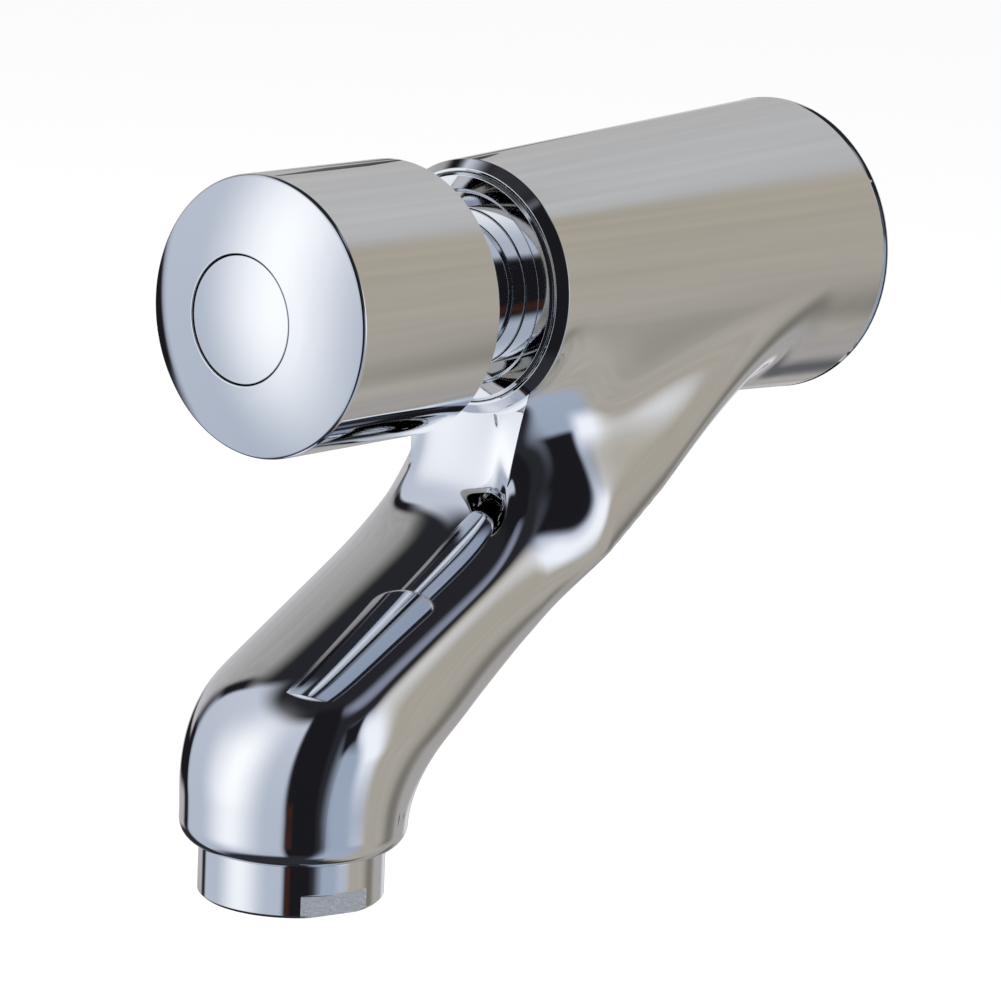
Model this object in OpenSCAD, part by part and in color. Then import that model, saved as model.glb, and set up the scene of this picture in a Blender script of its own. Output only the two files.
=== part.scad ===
// Wall-mounted push tap that shuts itself off after a set time.
// The barrel's axis is Y: the wall face is at y = 0 and the button faces -Y.
// The spout hangs to -Z. Sizes are in millimetres.
// A distance called "out" is measured from the wall face towards the button.

/* [Barrel] */
// Distance from the wall face to the sharp front edge of the barrel
barrel_length = 73.2; // [68:0.1:90]
// Diameter of the barrel at the wall
barrel_wall_d = 46; // [44:0.1:52]
// Height of the bevelled lip in front of the barrel's edge
lip_height = 1.4; // [1:0.1:2]
// Width of the lip's bevel
lip_bevel = 1.3; // [0.8:0.1:2]
// Width of the lip's flat rim round the bonnet ring
lip_rim = 0.6; // [0.4:0.1:1.5]
// How far the bonnet ring stands in front of the lip
bonnet_stand = 0.4; // [0:0.1:1]

/* [Spout] */
// Distance from the wall face to the outlet's centre
reach = 108; // [102:0.5:120]
// Depth of the spout's lower edge below the barrel's axis
drop = 77.6; // [74:0.5:90]
// Outside diameter of the spout's round end
spout_end_d = 32.8; // [32:0.1:37]
// Width of the spout at its bend
spout_width = 34.4; // [30:0.2:38]
// Width of the spout where it leaves the barrel
root_width = 36.4; // [34:0.2:38]
// Slope of the spout's front line below level, in degrees
front_slope = 28; // [24:0.5:32]
// Slope of the spout's rear line below level, in degrees
rear_slope = 38; // [35:0.5:41]
// Radius of the bend in the front line
front_bend_r = 19.7; // [14:0.1:24]
// Radius of the bend in the rear line
rear_bend_r = 16.5; // [12:0.1:22]
// Height of the front bend's centre above the lower edge
front_bend_rise = 8.2; // [6:0.1:12]
// Height of the rear bend's centre above the lower edge
rear_bend_rise = 0.6; // [0:0.1:3]
// Radius of the round on the spout's lower edge
skirt_round = 3.4; // [2:0.1:4.5]
// Squareness of the spout's section: 2 is an ellipse, more has a flatter front
section_power = 2.3; // [2:0.1:3]
// Width of the web between the barrel and the spout
web_width = 25; // [22:0.5:28]
// How far the web's rounded front stands in front of the barrel's edge
web_stand = 2.2; // [1.4:0.1:3]
// Length over which the web's front is rounded
web_round = 9; // [7:0.5:12]
// How much wider each side of the web gets for each millimetre up to the barrel
web_flare = 0.3; // [0.1:0.05:0.4]
// Size of the blend between the web and the barrel, behind the barrel's edge
barrel_blend = 6; // [3:0.5:9]
// Size of the blend between the web and the spout
spout_blend = 8; // [4:0.5:11]
// Diameter of the water passage in the spout
passage_d = 12; // [9:0.1:12.6]

/* [Button] */
// Diameter of the push button
button_d = 40; // [37:0.5:44]
// Length of the button's straight side
button_side = 28.3; // [24:0.1:34]
// Height of the button's domed face
dome_height = 5; // [3:0.1:7]
// Radius of the round at the dome's rim
rim_round = 0.8; // [0.4:0.1:1.2]
// Wall of the button's skirt
button_wall = 2.2; // [1.6:0.1:2.8]
// Gap from the collar's face to the released button's back rim
button_gap = 15.1; // [12:0.1:20]
// How far the button travels when it is pushed
push_travel = 9; // [6:0.5:10]
// Diameter of the disc in the middle of the face
disc_d = 18; // [15:0.1:22]
// Thickness of the disc at its edge
disc_edge = 1.6; // [1.2:0.1:2]
// Radius of the round on the disc's edge and on the edge of its recess
disc_round = 0.35; // [0.2:0.05:0.5]

/* [Neck and stem] */
// Outside diameter of the polished neck behind the button
neck_d = 23.2; // [21:0.1:25]
// Wall of the neck
neck_side = 2.4; // [1.6:0.1:3]
// Thickness of the neck's front wall
neck_wall = 3; // [2:0.1:4]
// How far the neck enters the button's socket
neck_socket = 8; // [5:0.1:10]
// Wall of the button's socket round the neck
socket_wall = 1.8; // [1.2:0.1:2.4]
// Thickness of the button's floor between the neck and the screw's head
button_floor = 5.5; // [3:0.1:8]
// Diameter of the stem inside the neck
stem_d = 8.4; // [7:0.1:8.8]
// Diameter of the stem behind the piston
stem_thin_d = 6.4; // [5.4:0.1:6.8]
// Diameter of the stem's threaded rear end
stem_thread_d = 4; // [3:0.1:4.6]
// Diameter of the button screw's thread
screw_d = 5; // [4:0.1:5.5]
// Length of the button screw's thread
screw_length = 18; // [14:0.5:22]
// Diameter of the button screw's head
screw_head_d = 9; // [8:0.1:9.6]
// Height of the button screw's head
screw_head_h = 2.8; // [2:0.1:3.2]
// Thickness of the washer at the stem's front end
stem_washer_t = 1; // [0.6:0.1:1.5]

/* [Collar] */
// How far the bonnet ring's flange stands out from its thread
bonnet_flange_w = 1.3; // [0.8:0.1:2]
// Thickness of the bonnet ring's flange
bonnet_flange_t = 2.4; // [1.8:0.1:3]
// Wall of the bonnet ring round the guide bush
bonnet_wall = 1.5; // [1:0.1:2.5]
// Length of the bonnet ring behind its flange
bonnet_shank = 12.6; // [11:0.1:14]
// Wall of the guide bush
bush_wall = 2.4; // [2:0.1:3.5]
// How far the bush's face lies behind the bonnet's face
bush_recess = 0.5; // [0.2:0.1:1]
// Thickness of the step that holds the bush from behind
bush_step = 3.2; // [2:0.1:4]
// Thickness of the neck's rubber ring
neck_ring_t = 1.5; // [1.2:0.1:1.7]
// Distance from the bush's back to its rubber ring
neck_ring_inset = 4; // [2:0.1:7]

/* [Cartridge] */
// Gap round the neck in the bore in which the piston slides
neck_gap = 0.6; // [0.4:0.05:1]
// Wall of the cartridge
cartridge_wall = 2.2; // [1.8:0.1:2.5]
// Thickness of the cartridge's front flange
cartridge_flange_t = 4; // [3.4:0.1:5]
// Thickness of the wall that carries the spring
divider_t = 2; // [1.6:0.1:2.4]
// Length of the flow chamber between the seat and the divider
flow_length = 7; // [6:0.1:8]
// Width of the ledge round the flow chamber that the seat rests on
flow_ledge = 1; // [0.6:0.1:2]
// Number of outlet windows round the flow chamber
window_count = 6; // [4:1:8]
// Width of one outlet window
window_width = 6; // [4:0.1:7]
// Length of one outlet window
window_length = 5; // [4:0.1:5.6]
// Thickness of the cartridge's rubber rings
cartridge_ring_t = 1.4; // [1.2:0.1:1.5]
// Depth of the ring-shaped gallery round the windows
gallery_depth = 2.1; // [1.2:0.1:2.5]
// How far the gallery reaches past the flow chamber
gallery_over = 4; // [3:0.1:6]

/* [Piston and spring] */
// Length of the metering piston
piston_length = 5; // [4:0.1:6]
// How far the released piston reaches into the bonnet ring
piston_reach = 2; // [1.5:0.1:2.4]
// Width of the groove for the piston's lip seal
seal_groove = 2.6; // [2:0.1:3]
// Diameter of the timing pin
timing_pin_d = 1.2; // [1:0.1:1.6]
// Diameter of the piston's metering hole round the pin
metering_hole_d = 1.6; // [1.5:0.1:2]
// Distance of the timing pin from the axis
timing_pin_at = 5.6; // [5.4:0.1:6]
// Diameter of the spring's wire
wire_d = 1.1; // [0.8:0.1:1.2]
// Diameter of the spring between its wire's centres
spring_d = 16.4; // [15.4:0.1:17]
// Number of curls of the spring
spring_curls = 6; // [5:1:7]
// Spare length left in the spring when the button is pushed home
spring_spare = 0.3; // [0:0.1:2]

/* [Valve] */
// Diameter of the seat's water hole
seat_hole_d = 11; // [9:0.1:12]
// Thickness of the seat
seat_t = 3.5; // [3:0.1:4.5]
// Height of the seat's raised lip
seat_lip_h = 1; // [0.6:0.1:1.5]
// Width of the seat's raised lip
seat_lip_w = 1; // [0.6:0.1:1.6]
// How far the rubber valve washer reaches past the seat's lip
washer_overlap = 1.2; // [0.6:0.1:1.6]
// Thickness of the rubber valve washer
washer_t = 2.4; // [2:0.1:3]
// Thickness of the brass valve head behind the washer
head_t = 3; // [2:0.1:3.5]
// Width of the valve head's rim round the washer
head_rim = 0.6; // [0.3:0.1:1]
// Distance across the flats of the valve nut
valve_nut_af = 7; // [6:0.1:8]
// Thickness of the valve nut
valve_nut_t = 3; // [2:0.1:3.2]
// Gap for the water round the valve head
chamber_gap = 1.2; // [0.8:0.1:1.6]

/* [Inlet] */
// Diameter of the inlet's pipe thread
tail_d = 20.95; // [20.4:0.01:21.2]
// Length of the inlet tail behind the wall face
tail_out = 18; // [14:0.5:30]
// Length of the inlet tail inside the barrel
tail_in = 9; // [7:0.1:10]
// Distance across the flats of the tail's hexagon socket
tail_socket_af = 12; // [10:0.1:12.6]
// Depth of the tail's hexagon socket
tail_socket_depth = 8; // [5:0.1:10]
// Bore of the inlet tail
tail_bore = 13; // [12.6:0.1:14]
// How far the strainer's rim stands out from its cup
strainer_rim_w = 1.5; // [1:0.1:2]
// Thickness of the strainer's rim
strainer_rim_t = 1.2; // [1:0.1:2]
// Length of the strainer's cup
strainer_length = 8; // [6:0.1:9]
// Width of the wall face round its gasket
gasket_margin = 3; // [2:0.1:4.5]
// Width of the wall face between the gasket and the inlet tail
gasket_inset = 2.5; // [1.5:0.1:4]
// Thickness of the gasket in the wall face
gasket_t = 1.6; // [1:0.1:2.5]

/* [Outlet] */
// Height of the aerator's collar below the spout
aerator_height = 7.7; // [6:0.1:10]
// Diameter of the aerator's thread
aerator_thread_d = 24; // [22:0.1:25]
// How far the aerator's collar stands out from its thread
aerator_step = 1.5; // [1:0.1:2]
// Length of the aerator's thread
aerator_thread_l = 7.6; // [6:0.1:8.5]
// Wall of the aerator's thread
aerator_wall = 1.3; // [1:0.1:2]
// Width of the inward lip at the aerator's mouth
aerator_lip = 0.9; // [0.6:0.1:1.2]
// Height of the inward lip at the aerator's mouth
aerator_lip_h = 1; // [0.8:0.1:1.4]
// Depth of a spanner flat
flat_depth = 1.1; // [0.6:0.1:1.4]
// Height of the spanner flats
flat_height = 3.3; // [2:0.1:4]
// Direction of the first spanner flat, in degrees from the front
flat_turn = 72; // [0:1:180]
// Thickness of the aerator's sealing washer
aerator_washer_t = 1.6; // [1:0.1:2]
// Thickness of the inlet screen
inlet_screen_t = 0.8; // [0.6:0.1:1.2]
// Thickness of the outlet screen
outlet_screen_t = 0.8; // [0.6:0.1:1.2]
// Width of one square gap in the outlet screen
mesh_gap = 1.5; // [1.2:0.1:2]
// Width of one bar of the outlet screen
mesh_bar = 0.5; // [0.4:0.1:0.8]

/* [Clearances] */
// Radial clearance of the neck in its bush and of the stem in the divider
running = 0.06; // [0.03:0.01:0.1]
// Gap between fixed pieces that screw or slip together
slip = 0.05; // [0.02:0.01:0.1]
// Gap between a moving piece and a piece that it may not touch
free_gap = 0.3; // [0.2:0.05:0.4]

/* [Hidden] */
$fn = 96;

chrome_colour = [0.78, 0.80, 0.83];
brass_colour = [0.80, 0.66, 0.35];
rubber_colour = [0.12, 0.12, 0.13];
steel_colour = [0.62, 0.64, 0.66];
plastic_colour = [0.88, 0.88, 0.85];
grey_plastic_colour = [0.55, 0.57, 0.60];
fibre_colour = [0.55, 0.20, 0.14];

// Cuts run past the face that they leave by this much.
past = 1;
// Stands in for nought where a number is divided by.
tiny = 0.001;

// Diameters round the barrel's axis, from the neck outwards.
neck_bore = neck_d - 2 * neck_side;
bush_d = neck_d + 2 * bush_wall;
bonnet_thread_d = bush_d + 2 * bonnet_wall;
bonnet_flange_d = bonnet_thread_d + 2 * bonnet_flange_w;
lip_d = bonnet_flange_d + 2 * lip_rim;
barrel_front_d = lip_d + 2 * lip_bevel;
cylinder_d = neck_d + 2 * neck_gap;
cartridge_d = cylinder_d + 2 * cartridge_wall;
cartridge_flange_d = bonnet_thread_d - 4 * slip;
flow_d = cylinder_d - 2 * flow_ledge;
gallery_d = cartridge_d + 2 * gallery_depth;
washer_d = seat_hole_d + 2 * (seat_lip_w + washer_overlap);
head_d = washer_d + 2 * head_rim;
chamber_d = head_d + 2 * chamber_gap;
strainer_rim_d = tail_bore + 2 * strainer_rim_w;
gasket_d = barrel_wall_d - 2 * gasket_margin;
gasket_bore = tail_d + 2 * gasket_inset;
aerator_d = aerator_thread_d + 2 * aerator_step;
aerator_bore = aerator_thread_d - 2 * aerator_wall;

// Lengths of the spring in its chamber and of the whole cartridge.
spring_length = push_travel + (spring_curls + 1) * wire_d + spring_spare;
cartridge_length = seat_t + flow_length + divider_t + spring_length + piston_length - piston_reach;

// Stations along the barrel, as distances out from the wall face.
lip_out = barrel_length + lip_height;
face_out = lip_out + bonnet_stand;
bonnet_floor_out = face_out - bonnet_flange_t;
bonnet_back_out = bonnet_floor_out - bonnet_shank;
cartridge_back_out = bonnet_back_out - cartridge_length;
seat_front_out = cartridge_back_out + seat_t;
divider_out = seat_front_out + flow_length;
gallery_back_out = seat_front_out;
gallery_front_out = divider_out + gallery_over;
spring_back_out = divider_out + divider_t;
piston_front_out = bonnet_back_out + piston_reach;
piston_back_out = piston_front_out - piston_length;
lip_back_out = cartridge_back_out - seat_lip_h;
washer_front_out = lip_back_out - free_gap;
head_front_out = washer_front_out - washer_t;
nut_front_out = head_front_out - head_t;
nut_back_out = nut_front_out - valve_nut_t;
button_back_out = face_out + button_gap;
button_rim_out = button_back_out + button_side;
button_top_out = button_rim_out + dome_height;

// Sphere of the button's dome, and the height of the dome at a radius.
dome_r = (pow(button_d / 2, 2) + pow(dome_height, 2)) / (2 * dome_height);
function dome_out(r) = button_top_out - dome_r + sqrt(dome_r * dome_r - r * r);

disc_floor_out = dome_out(disc_d / 2) - disc_edge;
screw_seat_out = disc_floor_out - screw_head_h - slip;
neck_front_out = screw_seat_out - button_floor;
stem_front_out = neck_front_out - neck_wall - stem_washer_t;

// Outlet levels, as heights in the model.
spout_low_z = -drop;
collar_low_z = spout_low_z - aerator_height;
aerator_top_z = spout_low_z + aerator_thread_l;
outlet_floor_z = aerator_top_z + aerator_washer_t;

// The body's surface is a grid of rings: ring_n points round the barrel, bridge_n steps along the
// part of the barrel's edge that the web covers, and points found by halving a stretch.
ring_n = 72;
bridge_n = 12;
halvings = 22;

function mix(a, b, t) = a + (b - a) * t;
function ease(t) = t * t * (3 - 2 * t);
function clamp01(t) = min(1, max(0, t));
function length2(x, y) = sqrt(x * x + y * y);
function smooth_min(a, b, k) =
    let (h = max(0, 1 - abs(a - b) / k))
    min(a, b) - k * h * h / 4;
function smooth_max(a, b, k) = -smooth_min(-a, -b, k);

// Front and rear lines of the spout: points are [out, z] in the plane x = 0.
front_bend_c = [reach + spout_end_d / 2 - front_bend_r, spout_low_z + front_bend_rise];
rear_bend_c = [reach - spout_end_d / 2 - rear_bend_r, spout_low_z + rear_bend_rise];
front_bend_p = front_bend_c + front_bend_r * [sin(front_slope), cos(front_slope)];
rear_bend_p = rear_bend_c + rear_bend_r * [sin(rear_slope), cos(rear_slope)];
function front_line_z(out) = front_bend_p[1] + (front_bend_p[0] - out) * tan(front_slope);
function rear_line_z(out) = rear_bend_p[1] + (rear_bend_p[0] - out) * tan(rear_slope);

function barrel_r(out) = mix(barrel_wall_d, barrel_front_d, out / barrel_length) / 2;
function spout_half(out) = mix(root_width, spout_width, clamp01(out / front_bend_p[0])) / 2;

// The web is a post with a rounded front, which flares into the barrel above this height.
web_power = 2.5;
web_flare_z = -barrel_front_d / 2 - 6;
web_top_z = -12;
web_round_out = barrel_length + web_stand - web_round;
function web_part(out, x, z) =
    let (half = web_width / 2 + web_flare * max(0, z - web_flare_z),
        ahead = max(0, out - web_round_out),
        q = pow(pow(abs(x) / half, web_power) + pow(ahead / web_round, web_power), 1 / web_power))
    length2(x, ahead) * (1 - 1 / max(q, tiny));
// The web's blend into the barrel runs out at the barrel's edge.
blend_run_out = 12;
edge_blend = 0.1;
function barrel_blend_at(out) =
    mix(barrel_blend, edge_blend, ease(clamp01(1 - (barrel_length - out) / blend_run_out)));

// Negative inside the body and positive outside, in a section across the barrel.
least_half_h = 1;
function section(out, x, z) =
    let (top = front_line_z(out), low = rear_line_z(out), mid = (top + low) / 2,
        half_w = spout_half(out), half_h = max((top - low) / 2, least_half_h),
        q = pow(pow(abs(x) / half_w, section_power) + pow(abs(z - mid) / half_h, section_power),
            1 / section_power),
        barrel = length2(x, z) - barrel_r(out),
        spout = length2(x, z - mid) * (1 - 1 / max(q, tiny)),
        web = max(web_part(out, x, z), z - web_top_z, mid - z))
    smooth_min(smooth_min(barrel, web, barrel_blend_at(out)), spout, spout_blend);

// Distance from a centre to the section's edge, by halving the stretch that holds it.
function edge_at(out, cz, dx, dz, lo, hi, left) =
    left == 0 ? lo :
    let (m = (lo + hi) / 2)
    section(out, m * dx, cz + m * dz) < 0
        ? edge_at(out, cz, dx, dz, m, hi, left - 1)
        : edge_at(out, cz, dx, dz, lo, m, left - 1);
// The centre of a ring sinks from the barrel's axis at the wall to the web at the front.
centre_sink = 22;
function ring_centre(out) = -centre_sink * ease(clamp01(out / barrel_length));
function barrel_ring(out) =
    let (cz = ring_centre(out))
    [for (i = [0 : ring_n - 1])
        let (a = 360 * i / ring_n, r = edge_at(out, cz, sin(a), cos(a), 0, drop, halvings))
        [r * sin(a), -out, cz + r * cos(a)]];

barrel_steps = [0, 0.06, 0.11, 0.15, 0.19, 0.23, 0.27, 0.32, 0.38, 0.45, 0.53, 0.61, 0.69, 0.77,
    0.84, 0.90, 0.95, 1];
barrel_rings = [for (f = barrel_steps) barrel_ring(f * barrel_length)];
front_ring = barrel_rings[len(barrel_rings) - 1];

// Last point, counted from the top, at which the front ring is still the barrel's own circle.
split = max([for (i = [0 : ring_n / 2])
    if (length2(front_ring[i][0], front_ring[i][2]) < barrel_front_d / 2 + 0.01) i]);
split_turn = atan2(front_ring[split][0], front_ring[split][2]);
bridge = [for (i = [1 : bridge_n - 1])
    let (a = mix(-split_turn, split_turn - 360, i / bridge_n))
    [barrel_front_d / 2 * sin(a), -barrel_length, barrel_front_d / 2 * cos(a)]];

// First ring of the spout: the lower part of the front ring, closed along the barrel's edge.
lobe = concat([for (i = [split : ring_n - split]) front_ring[i]], bridge);
lobe_n = len(lobe);
lobe_mid_z = (front_line_z(barrel_length) + rear_line_z(barrel_length)) / 2;
lobe_half_h = (front_line_z(barrel_length) - rear_line_z(barrel_length)) / 2;

// Direction of each lobe point from the middle of the spout, 0 at the top, in the spout's own scale.
lobe_turn = [for (i = [0 : lobe_n - 1])
    let (a = atan2(lobe[i][0] / spout_half(barrel_length), (lobe[i][2] - lobe_mid_z) / lobe_half_h),
        b = a < 0 ? a + 360 : a)
    i > lobe_n / 2 && b < 180 ? b + 360 : b];
// The points on the upper side are spread evenly as the spout leaves the collar.
even_from = 55;
outer_n = ring_n - 2 * split + 1;
even_first = min([for (i = [0 : outer_n - 1]) if (lobe_turn[i] >= even_from) i]);
even_last = outer_n - 1 - even_first;
even_side = lobe_turn[even_first];
even_n = lobe_n - even_last + even_first;
function even_turn(i) =
    i <= even_first ? even_side * (2 * (lobe_n - even_last + i) / even_n - 1) :
    i >= even_last ? 360 + even_side * (2 * (i - even_last) / even_n - 1) :
    lobe_turn[i];

// Negative inside the web and the spout, in front of the barrel's edge. The web's top leans away
// from the collar, with a small round where it meets the web's front.
web_lean = 6;
web_top_round = 1.5;
function front_part(mid, way, r, spout_r) =
    let (x = r * way[0], out = mid[0] + r * way[1], z = mid[1] + r * way[2],
        spout = norm(r * way) * (1 - spout_r / max(r, tiny)),
        top = barrel_front_d / 2 + web_lean * max(0, out - barrel_length) - length2(x, z),
        web = max(smooth_max(web_part(out, x, z), top, web_top_round), mid[1] - z))
    smooth_min(spout, web, spout_blend);
function front_edge_at(mid, way, spout_r, lo, hi, left) =
    left == 0 ? lo :
    let (m = (lo + hi) / 2)
    front_part(mid, way, m, spout_r) < 0
        ? front_edge_at(mid, way, spout_r, m, hi, left - 1)
        : front_edge_at(mid, way, spout_r, lo, m, left - 1);

// One ring of the spout between a front point and a rear point, [out, z] each.
farthest = 3;
function spout_ring(front, rear, half_w, power, evened, has_web) =
    let (mid = (front + rear) / 2, half = (front - rear) / 2)
    [for (i = [0 : lobe_n - 1])
        let (turn = mix(lobe_turn[i], even_turn(i), evened),
            spout_r = pow(pow(abs(sin(turn)), power) + pow(abs(cos(turn)), power), -1 / power),
            way = [half_w * sin(turn), half[0] * cos(turn), half[1] * cos(turn)],
            r = has_web ? front_edge_at(mid, way, spout_r, spout_r, farthest, halvings) : spout_r)
        [r * way[0], -(mid[0] + r * way[1]), mid[1] + r * way[2]]];

// Sloping stretch, from the collar to the bend: close rings down the web's front, then wider ones.
front_start = [barrel_length, front_line_z(barrel_length)];
rear_start = [barrel_length, rear_line_z(barrel_length)];
front_run = norm(front_bend_p - front_start);
web_steps = [0.16, 0.34, 0.52, 0.7, 0.86, 1, 1.2, 1.5, 1.95, 2.6];
slope_steps = [0.18, 0.24, 0.31, 0.39, 0.48, 0.59, 0.71, 0.85, 1];
even_start = 0.3;
even_run = 10;
slope_rings = [for (f = concat(web_steps * web_stand / front_run, slope_steps))
    let (run = f * front_run)
    spout_ring(mix(front_start, front_bend_p, f), mix(rear_start, rear_bend_p, f),
        spout_half(barrel_length + run), section_power, clamp01(even_start + run / even_run), true)];

// Bend, from the slope to the round end. The front line bends, then drops straight.
skirt_z = spout_low_z + skirt_round;
front_drop = max(0, front_bend_c[1] - skirt_z);
front_arc = front_bend_r * (90 - front_slope) * PI / 180;
function front_bend_at(f) =
    let (s = (1 - f) * (front_arc + front_drop))
    s < front_drop ? [front_bend_c[0] + front_bend_r, skirt_z + s] :
    let (a = (s - front_drop) / front_bend_r * 180 / PI)
    front_bend_c + front_bend_r * [cos(a), sin(a)];
rear_end_turn = asin((skirt_z - rear_bend_c[1]) / rear_bend_r);
function rear_bend_at(f) =
    let (a = mix(90 - rear_slope, rear_end_turn, f))
    rear_bend_c + rear_bend_r * [cos(a), sin(a)];
bend_n = 14;
end_front = front_bend_at(1);
end_rear = rear_bend_at(1);
end_half = (end_front[0] - end_rear[0]) / 2;
end_out = (end_front[0] + end_rear[0]) / 2;
bend_rings = [for (i = [1 : bend_n])
    let (f = i / bend_n, t = ease(f))
    spout_ring(front_bend_at(f), rear_bend_at(f), mix(spout_width / 2, end_half, t),
        mix(section_power, 2, t), 1, false)];

// Round on the lower edge.
edge_rings = [for (a = [18 : 18 : 90])
    let (r = end_half - skirt_round * (1 - cos(a)), z = skirt_z - skirt_round * sin(a))
    spout_ring([end_out + r, z], [end_out - r, z], r, 2, 1, false)];

// Triangles between two rows of points, and their numbering in one list.
function strip(a, b, n, closed) =
    [for (i = [0 : (closed ? n - 1 : n - 2)])
        let (j = (i + 1) % n)
        each [[a + i, a + j, b + j], [a + i, b + j, b + i]]];

spout_rows = concat([lobe], slope_rings, bend_rings, edge_rings);
barrel_count = len(barrel_rings) * ring_n;
function lobe_index(i) =
    i <= ring_n - 2 * split
        ? barrel_count - ring_n + split + i
        : barrel_count + i - (ring_n - 2 * split) - 1;
spout_first = barrel_count + bridge_n - 1;
function row_index(row, i) = row == 0 ? lobe_index(i) : spout_first + (row - 1) * lobe_n + i;
body_points = [
    each [for (r = barrel_rings) each r],
    each bridge,
    each [for (r = [1 : len(spout_rows) - 1]) each spout_rows[r]]
];
barrel_faces = [for (r = [0 : len(barrel_rings) - 2])
    each strip(r * ring_n, (r + 1) * ring_n, ring_n, true)];
spout_faces = [for (r = [0 : len(spout_rows) - 2], i = [0 : lobe_n - 1])
    let (j = (i + 1) % lobe_n)
    each [[row_index(r, i), row_index(r, j), row_index(r + 1, j)],
        [row_index(r, i), row_index(r + 1, j), row_index(r + 1, i)]]];
wall_face = [for (i = [ring_n - 1 : -1 : 0]) i];
collar_face = concat(
    [for (i = [ring_n - split : ring_n - 1]) barrel_count - ring_n + i],
    [for (i = [0 : split]) barrel_count - ring_n + i],
    [for (i = [bridge_n - 2 : -1 : 0]) barrel_count + i]);
outlet_face = [for (i = [0 : lobe_n - 1]) row_index(len(spout_rows) - 1, i)];

// Solids of revolution along the barrel, between two distances out from the wall.
module along_barrel() {
    rotate([90, 0, 0]) children();
}
module bar(d, from, to) {
    along_barrel() translate([0, 0, from]) cylinder(d = d, h = to - from);
}
module tube(d, bore, from, to) {
    difference() {
        bar(d, from, to);
        bar(bore, from - past, to + past);
    }
}
module turned(profile) {
    along_barrel() rotate_extrude() polygon(profile);
}
// Rubber ring of round section, at a distance out from the wall.
module rubber_ring(mean_d, thick, out) {
    color(rubber_colour)
    along_barrel() translate([0, 0, out]) rotate_extrude()
        translate([mean_d / 2, 0]) circle(d = thick, $fn = 24);
}
// Cylinder and tube that stand on the outlet's axis.
module outlet_bar(d, low, high) {
    translate([0, -reach, low]) cylinder(d = d, h = high - low);
}
module outlet_tube(d, bore, low, high) {
    difference() {
        outlet_bar(d, low, high);
        outlet_bar(bore, low - past, high + past);
    }
}

module body_form() {
    polyhedron(points = body_points,
        faces = concat(barrel_faces, spout_faces, [wall_face, collar_face, outlet_face]));
}

// Bevelled lip in front of the barrel's edge. Its foot lies inside the barrel.
module collar_lip() {
    foot_inset = 0.04;
    lip_foot_d = barrel_front_d - 2 * foot_inset;
    turned([[0, barrel_length - past], [lip_foot_d / 2 - past, barrel_length - past],
        [lip_foot_d / 2, barrel_length], [lip_d / 2, lip_out], [0, lip_out]]);
}

// Water passage from the gallery to the outlet, along the middle of the spout.
passage_top = [mix(gallery_back_out, gallery_front_out, 0.35), -gallery_d * 0.45];
passage_end = [reach, outlet_floor_z + passage_d * 0.22];
passage_end_d = passage_d + 1.2;
module water_passage() {
    run = passage_end - passage_top;
    translate([0, -passage_top[0], passage_top[1]])
        rotate([90 + atan2(-run[1], run[0]), 0, 0])
        cylinder(d = passage_d, h = norm(run));
    translate([0, -passage_end[0], passage_end[1]]) sphere(d = passage_end_d, $fn = 48);
}

module body() {
    color(chrome_colour)
    difference() {
        union() {
            body_form();
            collar_lip();
        }
        bar(tail_d + 2 * slip, -past, tail_in + slip);
        bar(chamber_d, tail_in - past, face_out);
        bar(cartridge_d + 2 * slip, cartridge_back_out, face_out);
        bar(gallery_d, gallery_back_out, gallery_front_out);
        bar(bonnet_thread_d + 2 * slip, bonnet_back_out - cartridge_flange_t, face_out);
        bar(bonnet_flange_d + 4 * slip, bonnet_floor_out, face_out + past);
        tube(gasket_d + 2 * slip, gasket_bore - 2 * slip, -past, gasket_t);
        water_passage();
        outlet_bar(aerator_thread_d + 2 * slip, spout_low_z - past, outlet_floor_z);
    }
}

module push_button() {
    r = button_d / 2;
    inner_r = r - button_wall;
    socket_r = neck_d / 2 + slip;
    ceiling_out = neck_front_out;
    rim_in = r - rim_round;
    socket_outer_r = socket_r + socket_wall;
    hollow_bevel = 0.6 * (inner_r - socket_outer_r);
    color(chrome_colour)
    difference() {
        along_barrel() rotate_extrude() difference() {
            union() {
                translate([0, button_back_out]) square([r, dome_out(rim_in) - rim_round - button_back_out]);
                polygon(concat([[0, button_rim_out - past]],
                    [for (a = [0 : 15 : 90])
                        [rim_in + rim_round * cos(a), dome_out(rim_in) + rim_round * (sin(a) - 1)]],
                    [for (i = [1 : 24]) let (x = rim_in * (1 - i / 24)) [x, dome_out(x)]]));
            }
            polygon([[socket_outer_r, button_back_out - past],
                [inner_r, button_back_out - past],
                [inner_r, ceiling_out - hollow_bevel],
                [inner_r - hollow_bevel, ceiling_out],
                [socket_outer_r, ceiling_out]]);
        }
        bar(2 * socket_outer_r + past, button_back_out - past, neck_front_out - neck_socket);
        bar(2 * socket_r, button_back_out - past, neck_front_out);
        bar(screw_d + 4 * slip, button_back_out, button_top_out);
        bar(screw_head_d + 4 * slip, screw_seat_out, button_top_out + past);
        turned([[0, disc_floor_out], [disc_d / 2 + slip, disc_floor_out],
            [disc_d / 2 + slip, dome_out(disc_d / 2) - disc_round],
            [disc_d / 2 + slip + 2 * disc_round, button_top_out + past], [0, button_top_out + past]]);
    }
}

module index_disc() {
    r = disc_d / 2;
    edge_out = dome_out(r);
    color(chrome_colour)
    turned(concat([[0, disc_floor_out], [r, disc_floor_out]],
        [for (a = [0 : 15 : 75])
            [r + disc_round * (cos(a) - 1), edge_out + disc_round * (sin(a) - 1)]],
        [for (i = [1 : 12]) let (x = (r - disc_round) * (1 - i / 12)) [x, dome_out(x)]]));
}

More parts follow.
